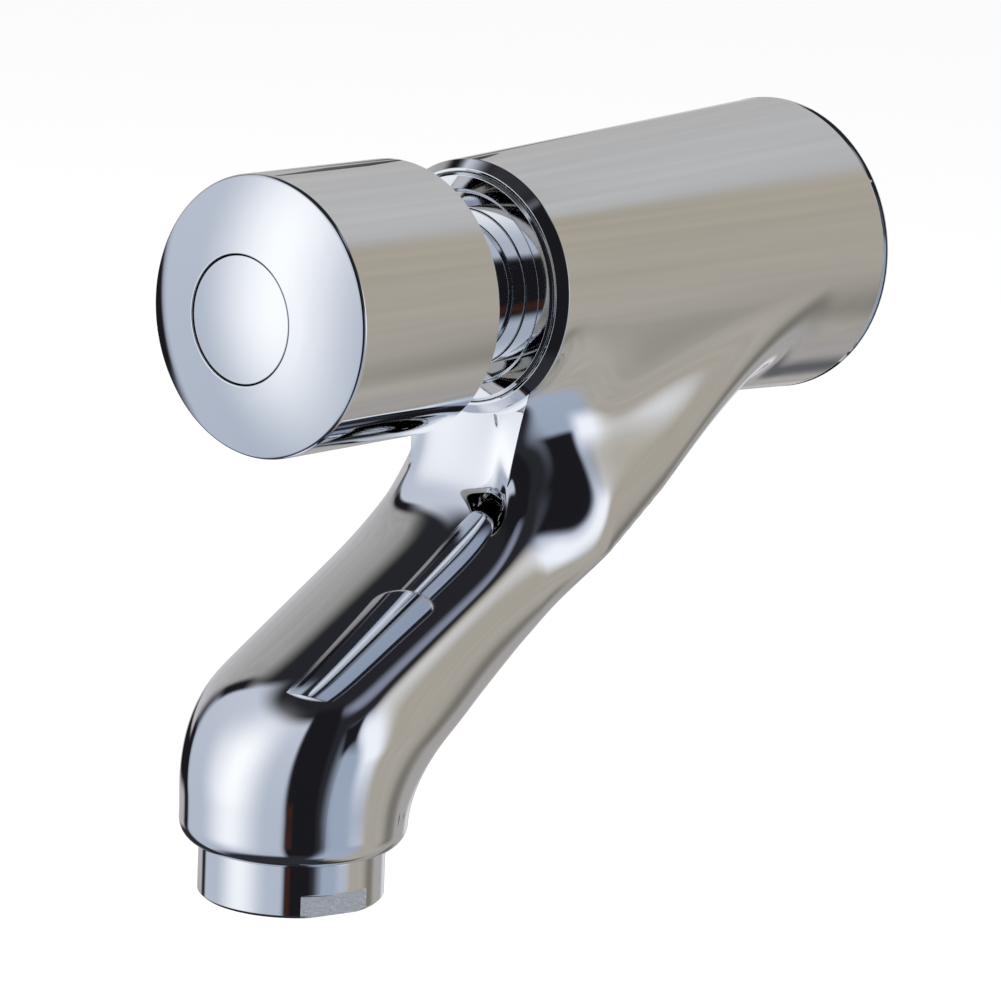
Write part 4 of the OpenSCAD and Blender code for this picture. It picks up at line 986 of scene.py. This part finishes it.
def turning_nodes(tree, start, end):
    """Rings that a lathe leaves round the Y axis, and the tone that differs from ring to ring."""
    coords = add_node(tree, "ShaderNodeTexCoord")
    split = add_node(tree, "ShaderNodeSeparateXYZ")
    across = add_node(tree, "ShaderNodeCombineXYZ")
    radius = add_node(tree, "ShaderNodeVectorMath", operation="LENGTH")
    place = add_node(tree, "ShaderNodeCombineXYZ")
    rings = add_node(tree, "ShaderNodeTexNoise", {"Detail": 3.0, "Roughness": 0.7})
    stain = add_node(tree, "ShaderNodeTexNoise", {"Scale": 160.0, "Detail": 3.0})
    wire(
        tree,
        (coords, "Object", split, "Vector"), (split, "X", across, "X"), (split, "Z", across, "Z"),
        (across, "Vector", radius, 0), (radius, "Value", place, "X"), (split, "Y", place, "Y"),
        (place, "Vector", rings, "Vector"), (start, "Rings", rings, "Scale"),
        (coords, "Object", stain, "Vector"))
    finish_ends(tree, start, end, rings, stain, rings, -0.06, 0.1)


def moulding_nodes(tree, start, end):
    """Skin of moulded rubber or plastic: a mottled tone and a fine grain."""
    coords = add_node(tree, "ShaderNodeTexCoord")
    cloud = add_node(tree, "ShaderNodeTexNoise", {"Scale": 120.0, "Detail": 3.0})
    grain = add_node(tree, "ShaderNodeTexNoise", {"Detail": 2.0})
    wire(tree, (coords, "Object", cloud, "Vector"), (coords, "Object", grain, "Vector"),
         (start, "Grain", grain, "Scale"))
    finish_ends(tree, start, end, cloud, grain, grain, -0.05, 0.08)


def card_nodes(tree, start, end):
    """Soft mask of a card and its colour from end to end, read from the card's own map."""
    coords = add_node(tree, "ShaderNodeTexCoord")
    split = add_node(tree, "ShaderNodeSeparateXYZ")
    both = add_math(tree, "MULTIPLY")
    for side, (axis, softness) in enumerate((("X", "Sides"), ("Y", "Ends"))):
        away = add_math(tree, "SUBTRACT", {1: 0.5})
        size = add_math(tree, "ABSOLUTE")
        inner = add_math(tree, "SUBTRACT", {0: 0.5})
        share = add_math(tree, "DIVIDE", use_clamp=True)
        eased = add_node(tree, "ShaderNodeMapRange", interpolation_type="SMOOTHSTEP")
        wire(
            tree,
            (split, axis, away, 0), (away, "Value", size, 0), (size, "Value", inner, 1),
            (inner, "Value", share, 0), (start, softness, share, 1), (share, "Value", eased, "Value"),
            (eased, "Result", both, side))
    blend = add_node(tree, "ShaderNodeMix", data_type="RGBA")
    cloud = add_node(tree, "ShaderNodeTexNoise", {"Scale": 14.0, "Detail": 3.0})
    swing = add_node(tree, "ShaderNodeMapRange", {"To Min": -2.0, "To Max": 2.0})
    depth = add_math(tree, "MULTIPLY")
    factor = add_math(tree, "ADD", {1: 1.0})
    tinted = add_node(tree, "ShaderNodeVectorMath", operation="SCALE")
    wire(
        tree,
        (coords, "UV", split, "Vector"), (both, "Value", end, "Mask"), (split, "Y", blend, "Factor"),
        (start, "Low", blend, "A"), (start, "High", blend, "B"), (coords, "UV", cloud, "Vector"),
        (cloud, "Fac", swing, "Value"), (swing, "Result", depth, 0), (start, "Streaks", depth, 1),
        (depth, "Value", factor, 0), (blend, "Result", tinted, 0), (factor, "Value", tinted, "Scale"),
        (tinted, "Vector", end, "Color"))


# Node groups that materials share: what fills them, their inputs and their outputs.
SHARED_GROUPS = {
    "polish": (polish_nodes, ("Roughness", "Smear", "Scale"), ("Roughness", "Height")),
    "turning": (turning_nodes, ("Light", "Dark", "Rings", "Roughness"), ("Color", "Roughness", "Height")),
    "moulding": (moulding_nodes, ("Light", "Dark", "Grain", "Roughness"), ("Color", "Roughness", "Height")),
    "card_light": (card_nodes, ("Low", "High", "Sides", "Ends", "Streaks"), ("Color", "Mask")),
}
COLOUR_SOCKETS = ("Light", "Dark", "Low", "High", "Color")


def shared_group(name):
    """The shader node group of a name, made when it is first asked for."""
    if name not in bpy.data.node_groups:
        fill, *sockets = SHARED_GROUPS[name]
        tree = bpy.data.node_groups.new(name, "ShaderNodeTree")
        for labels, way in zip(sockets, ("INPUT", "OUTPUT")):
            for label in labels:
                kind = "NodeSocketColor" if label in COLOUR_SOCKETS else "NodeSocketFloat"
                tree.interface.new_socket(label, in_out=way, socket_type=kind)
        fill(tree, add_node(tree, "NodeGroupInput"), add_node(tree, "NodeGroupOutput"))
    return bpy.data.node_groups[name]


def new_material(name, values):
    """A material with a Principled shader and its plain values."""
    material = bpy.data.materials.new(name)
    material.use_nodes = True
    tree = material.node_tree
    shader = tree.nodes["Principled BSDF"]
    for socket, value in values.items():
        shader.inputs[socket].default_value = value
    return material, tree, shader


def add_bump(tree, shader, source, output, strength, distance):
    """Lets the shader's surface stand out where an output is high."""
    bump = add_node(tree, "ShaderNodeBump", {"Strength": strength, "Distance": distance})
    wire(tree, (source, output, bump, "Height"), (bump, "Normal", shader, "Normal"))


def polished(name, colour, roughness=0.03, smear=0.03, scale=60.0):
    """Plated or bright metal with faint wiping marks."""
    material, tree, shader = new_material(
        name, {"Base Color": (*colour, 1), "Metallic": 1.0, "Roughness": roughness})
    marks = add_node(tree, "ShaderNodeGroup", {
        "Roughness": roughness, "Smear": smear, "Scale": scale}, node_tree=shared_group("polish"))
    wire(tree, (marks, "Roughness", shader, "Roughness"))
    add_bump(tree, shader, marks, "Height", 0.06, 0.0006 * MM)
    return material


def grained(name, group, light, dark, detail, roughness, metallic):
    """A finish whose tone, roughness and height come from a shared group."""
    material, tree, shader = new_material(
        name, {"Base Color": (*light, 1), "Metallic": metallic, "Roughness": roughness})
    skin = add_node(tree, "ShaderNodeGroup", {
        "Light": (*light, 1), "Dark": (*dark, 1), 2: detail, "Roughness": roughness},
        node_tree=shared_group(group))
    wire(tree, (skin, "Color", shader, "Base Color"), (skin, "Roughness", shader, "Roughness"))
    add_bump(tree, shader, skin, "Height", 0.3, 0.01 * MM)
    return material


def darker(colour, share):
    """A share of a colour's light."""
    return tuple(part * share for part in colour)


def chrome(name, roughness=0.03, smear=0.03):
    """Polished plating in the chrome's colour."""
    return polished(name, bpy.context.scene.tap_colours.chrome, roughness, smear)


def brushed_chrome(name):
    """Chrome over a ground flat, which scatters light along its grinding marks."""
    material, tree, shader = new_material(
        name, {"Base Color": (*bpy.context.scene.tap_colours.chrome, 1), "Metallic": 1.0, "Roughness": 0.42})
    coords = add_node(tree, "ShaderNodeTexCoord")
    stretch = add_node(tree, "ShaderNodeMapping", {"Scale": (1.0, 1.0, 4.0)})
    lines = add_node(tree, "ShaderNodeTexNoise", {"Scale": 900.0, "Detail": 3.0})
    dull = add_node(tree, "ShaderNodeMapRange", {"To Min": 0.32, "To Max": 0.55})
    wire(
        tree,
        (coords, "Object", stretch, "Vector"), (stretch, "Vector", lines, "Vector"),
        (lines, "Fac", dull, "Value"), (dull, "Result", shader, "Roughness"))
    add_bump(tree, shader, lines, "Fac", 1.0, 0.2 * MM)
    return material


def turned_metal(name, colour, roughness, rings=900.0):
    """Metal as a lathe leaves it."""
    return grained(name, "turning", colour, darker(colour, 0.75), rings, roughness, 1.0)


def moulded(name, colour, roughness, grain=2500.0):
    """Rubber or plastic as a mould leaves it."""
    return grained(name, "moulding", colour, darker(colour, 0.7), grain, roughness, 0.0)


def finish_node(name, *materials):
    """Gives a CAD node that stays its materials."""
    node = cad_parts[name]
    for index, slot in enumerate(node.material_slots):
        slot.material = materials[min(index, len(materials) - 1)]
    return node


# Operators, one for each piece or group of like pieces.


class TAP_OT_casting(bpy.types.Operator):
    """Makes the cast barrel and spout"""

    bl_idname = "tap.casting"
    bl_label = "Casting"

    def execute(self, context):
        points, faces = casting_mesh(context.scene.tap_casting)
        piece = make_piece("cast_body", points, faces)
        dress(piece, chrome("chrome_casting"), FIXED_BODY, "body")
        return {"FINISHED"}


def paint_gap_shade(piece, gap_shade, sizes):
    """Paints shade into the gap round the disc: its faces get a dark rubber material that stands in for the
    shadow there.
    """
    middle = DISC_HIGH.x + sizes.disc_gap / 2
    highest = dome_out(sizes, middle) - sizes.disc_sink - sizes.disc_round
    lowest = -DISC_HIGH.y - 0.1 * MM
    piece.data.materials.append(gap_shade)
    for face in piece.data.polygons:
        x, y, z = face.center
        # Faces inside the gap round the disc get the painted shade.
        if lowest < -y < highest and abs(math.hypot(x, z) - middle) < sizes.disc_gap:
            face.material_index = 1


class TAP_OT_button(bpy.types.Operator):
    """Makes the push button and the disc in its face"""

    bl_idname = "tap.button"
    bl_label = "Button"

    def execute(self, context):
        sizes = context.scene.tap_button
        button = turned("button_cap", button_profile(sizes), segments=288)
        dress(button, chrome("chrome_button", 0.02, 0.02), MOVING_BODY, "push_button")
        disc = turned("face_disc", disc_profile(sizes), segments=192)
        dress(disc, chrome("chrome_disc", 0.02, 0.02), MOVING_BODY, "index_disc")
        # Painted shade: a dark rubber material in the gap round the disc stands in for the shadow in that
        # gap.
        gap_shade = moulded("painted_shade_disc_gap", context.scene.tap_colours.rubber, 0.7)
        paint_gap_shade(button, gap_shade, sizes)
        paint_gap_shade(disc, gap_shade, sizes)
        return {"FINISHED"}


class TAP_OT_collar(bpy.types.Operator):
    """Makes the neck and the two rings round it in the barrel's front"""

    bl_idname = "tap.collar"
    bl_label = "Neck and collar"

    def execute(self, context):
        sizes = context.scene.tap_collar
        neck = turned("neck", neck_profile(), segments=256)
        dress(neck, chrome("chrome_neck", 0.025, 0.04), MOVING_BODY, "neck_sleeve")
        bonnet = turned("bonnet", bonnet_profile(sizes), segments=288, closed=True)
        dress(bonnet, chrome("chrome_bonnet"), FIXED_BODY, "bonnet_ring")
        bush = turned("bush", bush_profile(sizes), segments=288, closed=True)
        dress(bush, chrome("chrome_bush"), FIXED_BODY, "guide_bush")
        return {"FINISHED"}


class TAP_OT_outlet(bpy.types.Operator):
    """Finishes the outlet's collar, its ground flats, its screens and its cage"""

    bl_idname = "tap.outlet"
    bl_label = "Outlet"

    def execute(self, context):
        colours = context.scene.tap_colours
        make_outlet_collar(context.scene.tap_outlet)
        finish_node("outlet_screen", turned_metal("steel_net", colours.steel, 0.25))
        finish_node("inlet_screen", turned_metal("steel_disc", colours.steel, 0.25))
        finish_node("aerator_insert", moulded("plastic_cage", colours.plastic, 0.45))
        finish_node("aerator_washer", moulded("rubber_outlet", colours.rubber, 0.6))
        return {"FINISHED"}


class TAP_OT_inlet(bpy.types.Operator):
    """Makes the threaded inlet and finishes its strainer and the wall gasket"""

    bl_idname = "tap.inlet"
    bl_label = "Inlet"

    def execute(self, context):
        sizes = context.scene.tap_thread
        colours = context.scene.tap_colours
        brass = turned_metal("brass_tail", colours.brass, 0.28)
        core = turned("tail_core", tail_profile(sizes), segments=192, closed=True)
        dress(core, brass, FIXED_BODY, "inlet_tail")
        make_thread(sizes, brass)
        finish_node("inlet_strainer", moulded("plastic_strainer", colours.plastic, 0.4))
        finish_node("wall_gasket", moulded("rubber_gasket", colours.rubber, 0.65))
        return {"FINISHED"}


class TAP_OT_works(bpy.types.Operator):
    """Finishes the works inside the barrel and the button"""

    bl_idname = "tap.works"
    bl_label = "Works"

    def execute(self, context):
        colours = context.scene.tap_colours
        brass = turned_metal("brass_works", colours.brass, 0.25)
        steel = turned_metal("steel_works", colours.steel, 0.22)
        rubber = moulded("rubber_works", colours.rubber, 0.6)
        piston = moulded("acetal_piston", colours.acetal, 0.35)
        fibre = moulded("fibre_washer", colours.fibre, 0.75, 1200.0)
        spring = polished("spring_wire", colours.steel, 0.18, 0.08, 200.0)
        for name in ("push_stem", "cartridge_housing", "valve_seat", "valve_head"):
            finish_node(name, brass)
        for name in ("button_screw", "valve_nut", "timing_pin"):
            finish_node(name, steel)
        for name in ("neck_oring", "flange_oring", "cartridge_oring", "piston_seal", "seat_oring",
                     "valve_washer"):
            finish_node(name, rubber)
        finish_node("metering_piston", piston)
        finish_node("stem_washer", fibre)
        finish_node("return_spring", spring)
        return {"FINISHED"}


class TAP_OT_stage(bpy.types.Operator):
    """Makes the floor, the lamps, the cards that the chrome reflects and the camera"""

    bl_idname = "tap.stage"
    bl_label = "Stage"

    def execute(self, context):
        make_stage(context.scene)
        return {"FINISHED"}


class TAP_PT_panel(bpy.types.Panel):
    """Buttons that make the tap, and its sizes"""

    bl_idname = "TAP_PT_panel"
    bl_label = "Push tap"
    bl_space_type = "VIEW_3D"
    bl_region_type = "UI"
    bl_category = "Tap"

    def draw(self, context):
        column = self.layout.column(align=True)
        for operator in OPERATORS:
            column.operator(operator.bl_idname)
        for name, group in GROUPS.items():
            box = self.layout.box()
            box.label(text=group.__doc__.rstrip("."))
            for key in group.__annotations__:
                box.prop(getattr(context.scene, name), key)


# Stage.


CAMERA_AZIMUTH = math.radians(39.66)
CAMERA_ELEVATION = math.radians(11.934)
CAMERA_ROLL = math.radians(2.456)
CAMERA_PLACE = Vector((0.4202, -0.5711, 0.1058))
CAMERA_LENS = 161.84


def make_camera(scene):
    """The camera at the photograph's viewing angle."""
    data = bpy.data.cameras.new("camera")
    data.lens = CAMERA_LENS
    data.sensor_width = 36
    data.clip_start = 0.01
    camera = add_object("camera", data)
    az, el = CAMERA_AZIMUTH, CAMERA_ELEVATION
    back = Vector((math.sin(az) * math.cos(el), -math.cos(az) * math.cos(el), math.sin(el)))
    right = Matrix.Rotation(CAMERA_ROLL, 3, back) @ Vector((math.cos(az), math.sin(az), 0))
    turn = Matrix((right, back.cross(right), back)).transposed().to_4x4()
    camera.matrix_world = Matrix.Translation(CAMERA_PLACE) @ turn
    scene.camera = camera


class Card(NamedTuple):
    """A card that only mirrors see. Its place and size are angles in degrees, seen from the tap."""

    name: str
    azimuth: float
    elevation: float
    half_width: float
    half_height: float
    low: tuple
    high: tuple
    soft_sides: float = 0.3
    soft_ends: float = 0.3
    streaks: float = 0.0


CARD_DISTANCE = 1.6
CARD_STEP = 0.02
CARD_SQUARES = 20

DARK = (0.012, 0.012, 0.015)
# The farthest card first. Azimuth 0 is along X, 90 is behind the wall, 270 is in front of it.
CARDS = (
    Card("dark_front", 270, 0, 182, 89.99, (0.03, 0.032, 0.04), (0.02, 0.02, 0.024), 0.001, 0.001),
    Card("back_wall", 88, -4, 66, 64, (0.36, 0.33, 0.31), (0.58, 0.58, 0.58), 0.12, 0.12, 0.07),
    Card("back_right", 40, -12, 34, 66, (0.46, 0.44, 0.40), (0.46, 0.41, 0.33), 0.18, 0.10, 0.07),
    Card("back_shade", 62, -23, 16, 19, (0.20, 0.19, 0.17), (0.24, 0.22, 0.19), 0.48, 0.48),
    Card("back_left", 128, -4, 13, 13, (0.90, 0.90, 0.94), (0.60, 0.60, 0.62), 0.45, 0.45),
    Card("back_low", 107, -39, 14, 8, (0.13, 0.13, 0.14), (0.13, 0.13, 0.14), 0.40, 0.45),
    Card("back_low_left", 112, -21, 15, 6, (0.80, 0.80, 0.84), (0.70, 0.70, 0.74), 0.40, 0.45),
    Card("left_wall", 157, 13, 26, 38, (0.70, 0.69, 0.72), (0.34, 0.33, 0.31), 0.25, 0.10, 0.08),
    Card("front_blue", 243, 1, 63, 60, (0.48, 0.54, 0.64), (0.64, 0.68, 0.77), 0.08, 0.12),
    Card("front_light", 247, 6, 39, 64, (1.18, 1.20, 1.22), (1.20, 1.21, 1.23), 0.50, 0.42),
    Card("right_blue", 0, -18, 26, 54, (0.42, 0.48, 0.60), (0.36, 0.42, 0.54), 0.30, 0.15),
    Card("right_light", 14, 3, 15, 30, (1.05, 1.08, 1.14), (1.05, 1.07, 1.12), 0.42, 0.42),
    Card("dark_drop", 353, 19, 13, 17, DARK, DARK, 0.22, 0.25),
    Card("right_top", 12, 58, 26, 11, (0.26, 0.28, 0.36), (0.26, 0.28, 0.36), 0.30, 0.45),
    Card("dark_right", 316, 10, 18, 62, DARK, DARK, 0.14, 0.10),
    Card("brown_slot", 305, -17, 4, 7, (0.06, 0.022, 0.016), (0.045, 0.018, 0.014), 0.40, 0.45, 0.3),
    Card("dark_left_low", 167, -12, 16, 9, DARK, DARK, 0.20, 0.25),
    Card("dark_left_rim", 181, -9, 6, 15, DARK, DARK, 0.25, 0.20),
    Card("dark_left_high", 183, 34, 6, 14, DARK, DARK, 0.35, 0.30),
)


def card_material(card):
    """Light of the card's own colours, clear towards its edges."""
    material = bpy.data.materials.new(card.name)
    material.use_nodes = True
    tree = material.node_tree
    tree.nodes.clear()
    out = add_node(tree, "ShaderNodeOutputMaterial")
    glow = add_node(tree, "ShaderNodeEmission")
    clear = add_node(tree, "ShaderNodeBsdfTransparent")
    blend = add_node(tree, "ShaderNodeMixShader")
    light = add_node(tree, "ShaderNodeGroup", {
        "Low": (*card.low, 1), "High": (*card.high, 1), "Sides": card.soft_sides, "Ends": card.soft_ends,
        "Streaks": card.streaks}, node_tree=shared_group("card_light"))
    wire(
        tree,
        (light, "Color", glow, "Color"), (light, "Mask", blend, "Fac"), (clear, "BSDF", blend, 1),
        (glow, "Emission", blend, 2), (blend, "Shader", out, "Surface"))
    return material


def make_card(card, distance):
    """A card of light, a piece of a sphere round the tap."""
    az, el = math.radians(card.azimuth), math.radians(card.elevation)
    way = Vector((math.cos(az) * math.cos(el), math.sin(az) * math.cos(el), math.sin(el)))
    across = Vector((-math.sin(az), math.cos(az), 0))
    upward = way.cross(across)
    places = [(column / CARD_SQUARES, row / CARD_SQUARES)
              for row in range(CARD_SQUARES + 1) for column in range(CARD_SQUARES + 1)]
    points = []
    for u, v in places:
        a, b = math.radians(card.half_width) * (2 * u - 1), math.radians(card.half_height) * (2 * v - 1)
        ray = (way * math.cos(a) + across * math.sin(a)) * math.cos(b) + upward * math.sin(b)
        points.append(tuple(ray * distance))
    line = CARD_SQUARES + 1
    corners = [row * line + column for row in range(CARD_SQUARES) for column in range(CARD_SQUARES)]
    mesh = bpy.data.meshes.new(card.name)
    mesh.from_pydata(points, [], [[c, c + 1, c + line + 1, c + line] for c in corners])
    layer = mesh.uv_layers.new(name="place")
    for loop in mesh.loops:
        layer.data[loop.index].uv = places[loop.vertex_index]
    mesh.materials.append(card_material(card))
    made = add_object(card.name, mesh)
    made.visible_camera = False
    made.visible_shadow = False
    made.visible_diffuse = False


def make_world(scene, levels):
    """White behind the tap for the camera and for mirrors, plain grey light for everything else."""
    world = bpy.data.worlds.new("studio")
    world.use_nodes = True
    scene.world = world
    tree = world.node_tree
    background = tree.nodes["Background"]
    path = add_node(tree, "ShaderNodeLightPath")
    first = add_math(tree, "MAXIMUM")
    second = add_math(tree, "MAXIMUM")
    level = add_node(tree, "ShaderNodeMapRange", {"To Min": levels.world, "To Max": 1.0})
    wire(
        tree,
        (path, "Is Camera Ray", first, 0), (path, "Is Glossy Ray", first, 1), (first, "Value", second, 0),
        (path, "Is Transmission Ray", second, 1), (second, "Value", level, "Value"),
        (level, "Result", background, "Strength"))
    background.inputs["Color"].default_value = (1, 1, 1, 1)


def make_floor(levels):
    """A pale floor, wide enough to fill the view."""
    size, z = 6.0, -levels.floor_drop
    mesh = bpy.data.meshes.new("floor")
    mesh.from_pydata([(-size, -size, z), (size, -size, z), (size, size, z), (-size, size, z)], [], [range(4)])
    material, tree, shader = new_material(
        "floor_card", {"Base Color": (0.9, 0.9, 0.9, 1), "Roughness": 0.9, "Specular IOR Level": 0.0})
    path = add_node(tree, "ShaderNodeLightPath")
    lift = add_math(tree, "MULTIPLY", {1: levels.floor_lift})
    shader.inputs["Emission Color"].default_value = (1, 1, 1, 1)
    wire(tree, (path, "Is Camera Ray", lift, 0), (lift, "Value", shader, "Emission Strength"))
    mesh.materials.append(material)
    floor = add_object("floor", mesh)
    floor.visible_glossy = False


def make_lamp(name, place, size, power):
    """A soft lamp that looks at the tap and isn't mirrored in it."""
    data = bpy.data.lights.new(name, "AREA")
    data.size = size
    data.energy = power
    lamp = add_object(name, data)
    away = Vector(place)
    lamp.matrix_world = Matrix.Translation(away) @ away.to_track_quat("Z", "Y").to_matrix().to_4x4()
    lamp.visible_glossy = False
    lamp.visible_camera = False


def make_stage(scene):
    """Camera, world, floor, lamps and cards."""
    levels = scene.tap_stage
    make_camera(scene)
    make_world(scene, levels)
    make_floor(levels)
    make_lamp("key", (0.5, -0.9, 1.6), 1.2, levels.key)
    make_lamp("fill", (-1.4, -0.8, 0.5), 1.0, levels.fill)
    for order, card in enumerate(CARDS):
        make_card(card, CARD_DISTANCE - CARD_STEP * order)


OPERATORS = (
    TAP_OT_casting, TAP_OT_button, TAP_OT_collar, TAP_OT_outlet, TAP_OT_inlet, TAP_OT_works, TAP_OT_stage)
GROUPS = {
    "tap_casting": CastingSizes, "tap_button": ButtonSizes, "tap_collar": CollarSizes,
    "tap_outlet": OutletSizes, "tap_thread": ThreadSizes, "tap_colours": FinishColours,
    "tap_stage": StageLevels,
}
CLASSES = (*GROUPS.values(), *OPERATORS, TAP_PT_panel)


def register():
    """Adds the operators, the panel and the scene's settings."""
    for cls in CLASSES:
        bpy.utils.register_class(cls)
    for name, group in GROUPS.items():
        setattr(bpy.types.Scene, name, PointerProperty(type=group))


def unregister():
    """Takes away what register added."""
    for name in GROUPS:
        delattr(bpy.types.Scene, name)
    for cls in reversed(CLASSES):
        bpy.utils.unregister_class(cls)


def main():
    """Makes all pieces and the stage."""
    register()
    bpy.context.scene.view_settings.view_transform = "Standard"
    bpy.ops.tap.casting()
    bpy.ops.tap.button()
    bpy.ops.tap.collar()
    bpy.ops.tap.outlet()
    bpy.ops.tap.inlet()
    bpy.ops.tap.works()
    bpy.ops.tap.stage()


if __name__ == "__main__":
    main()
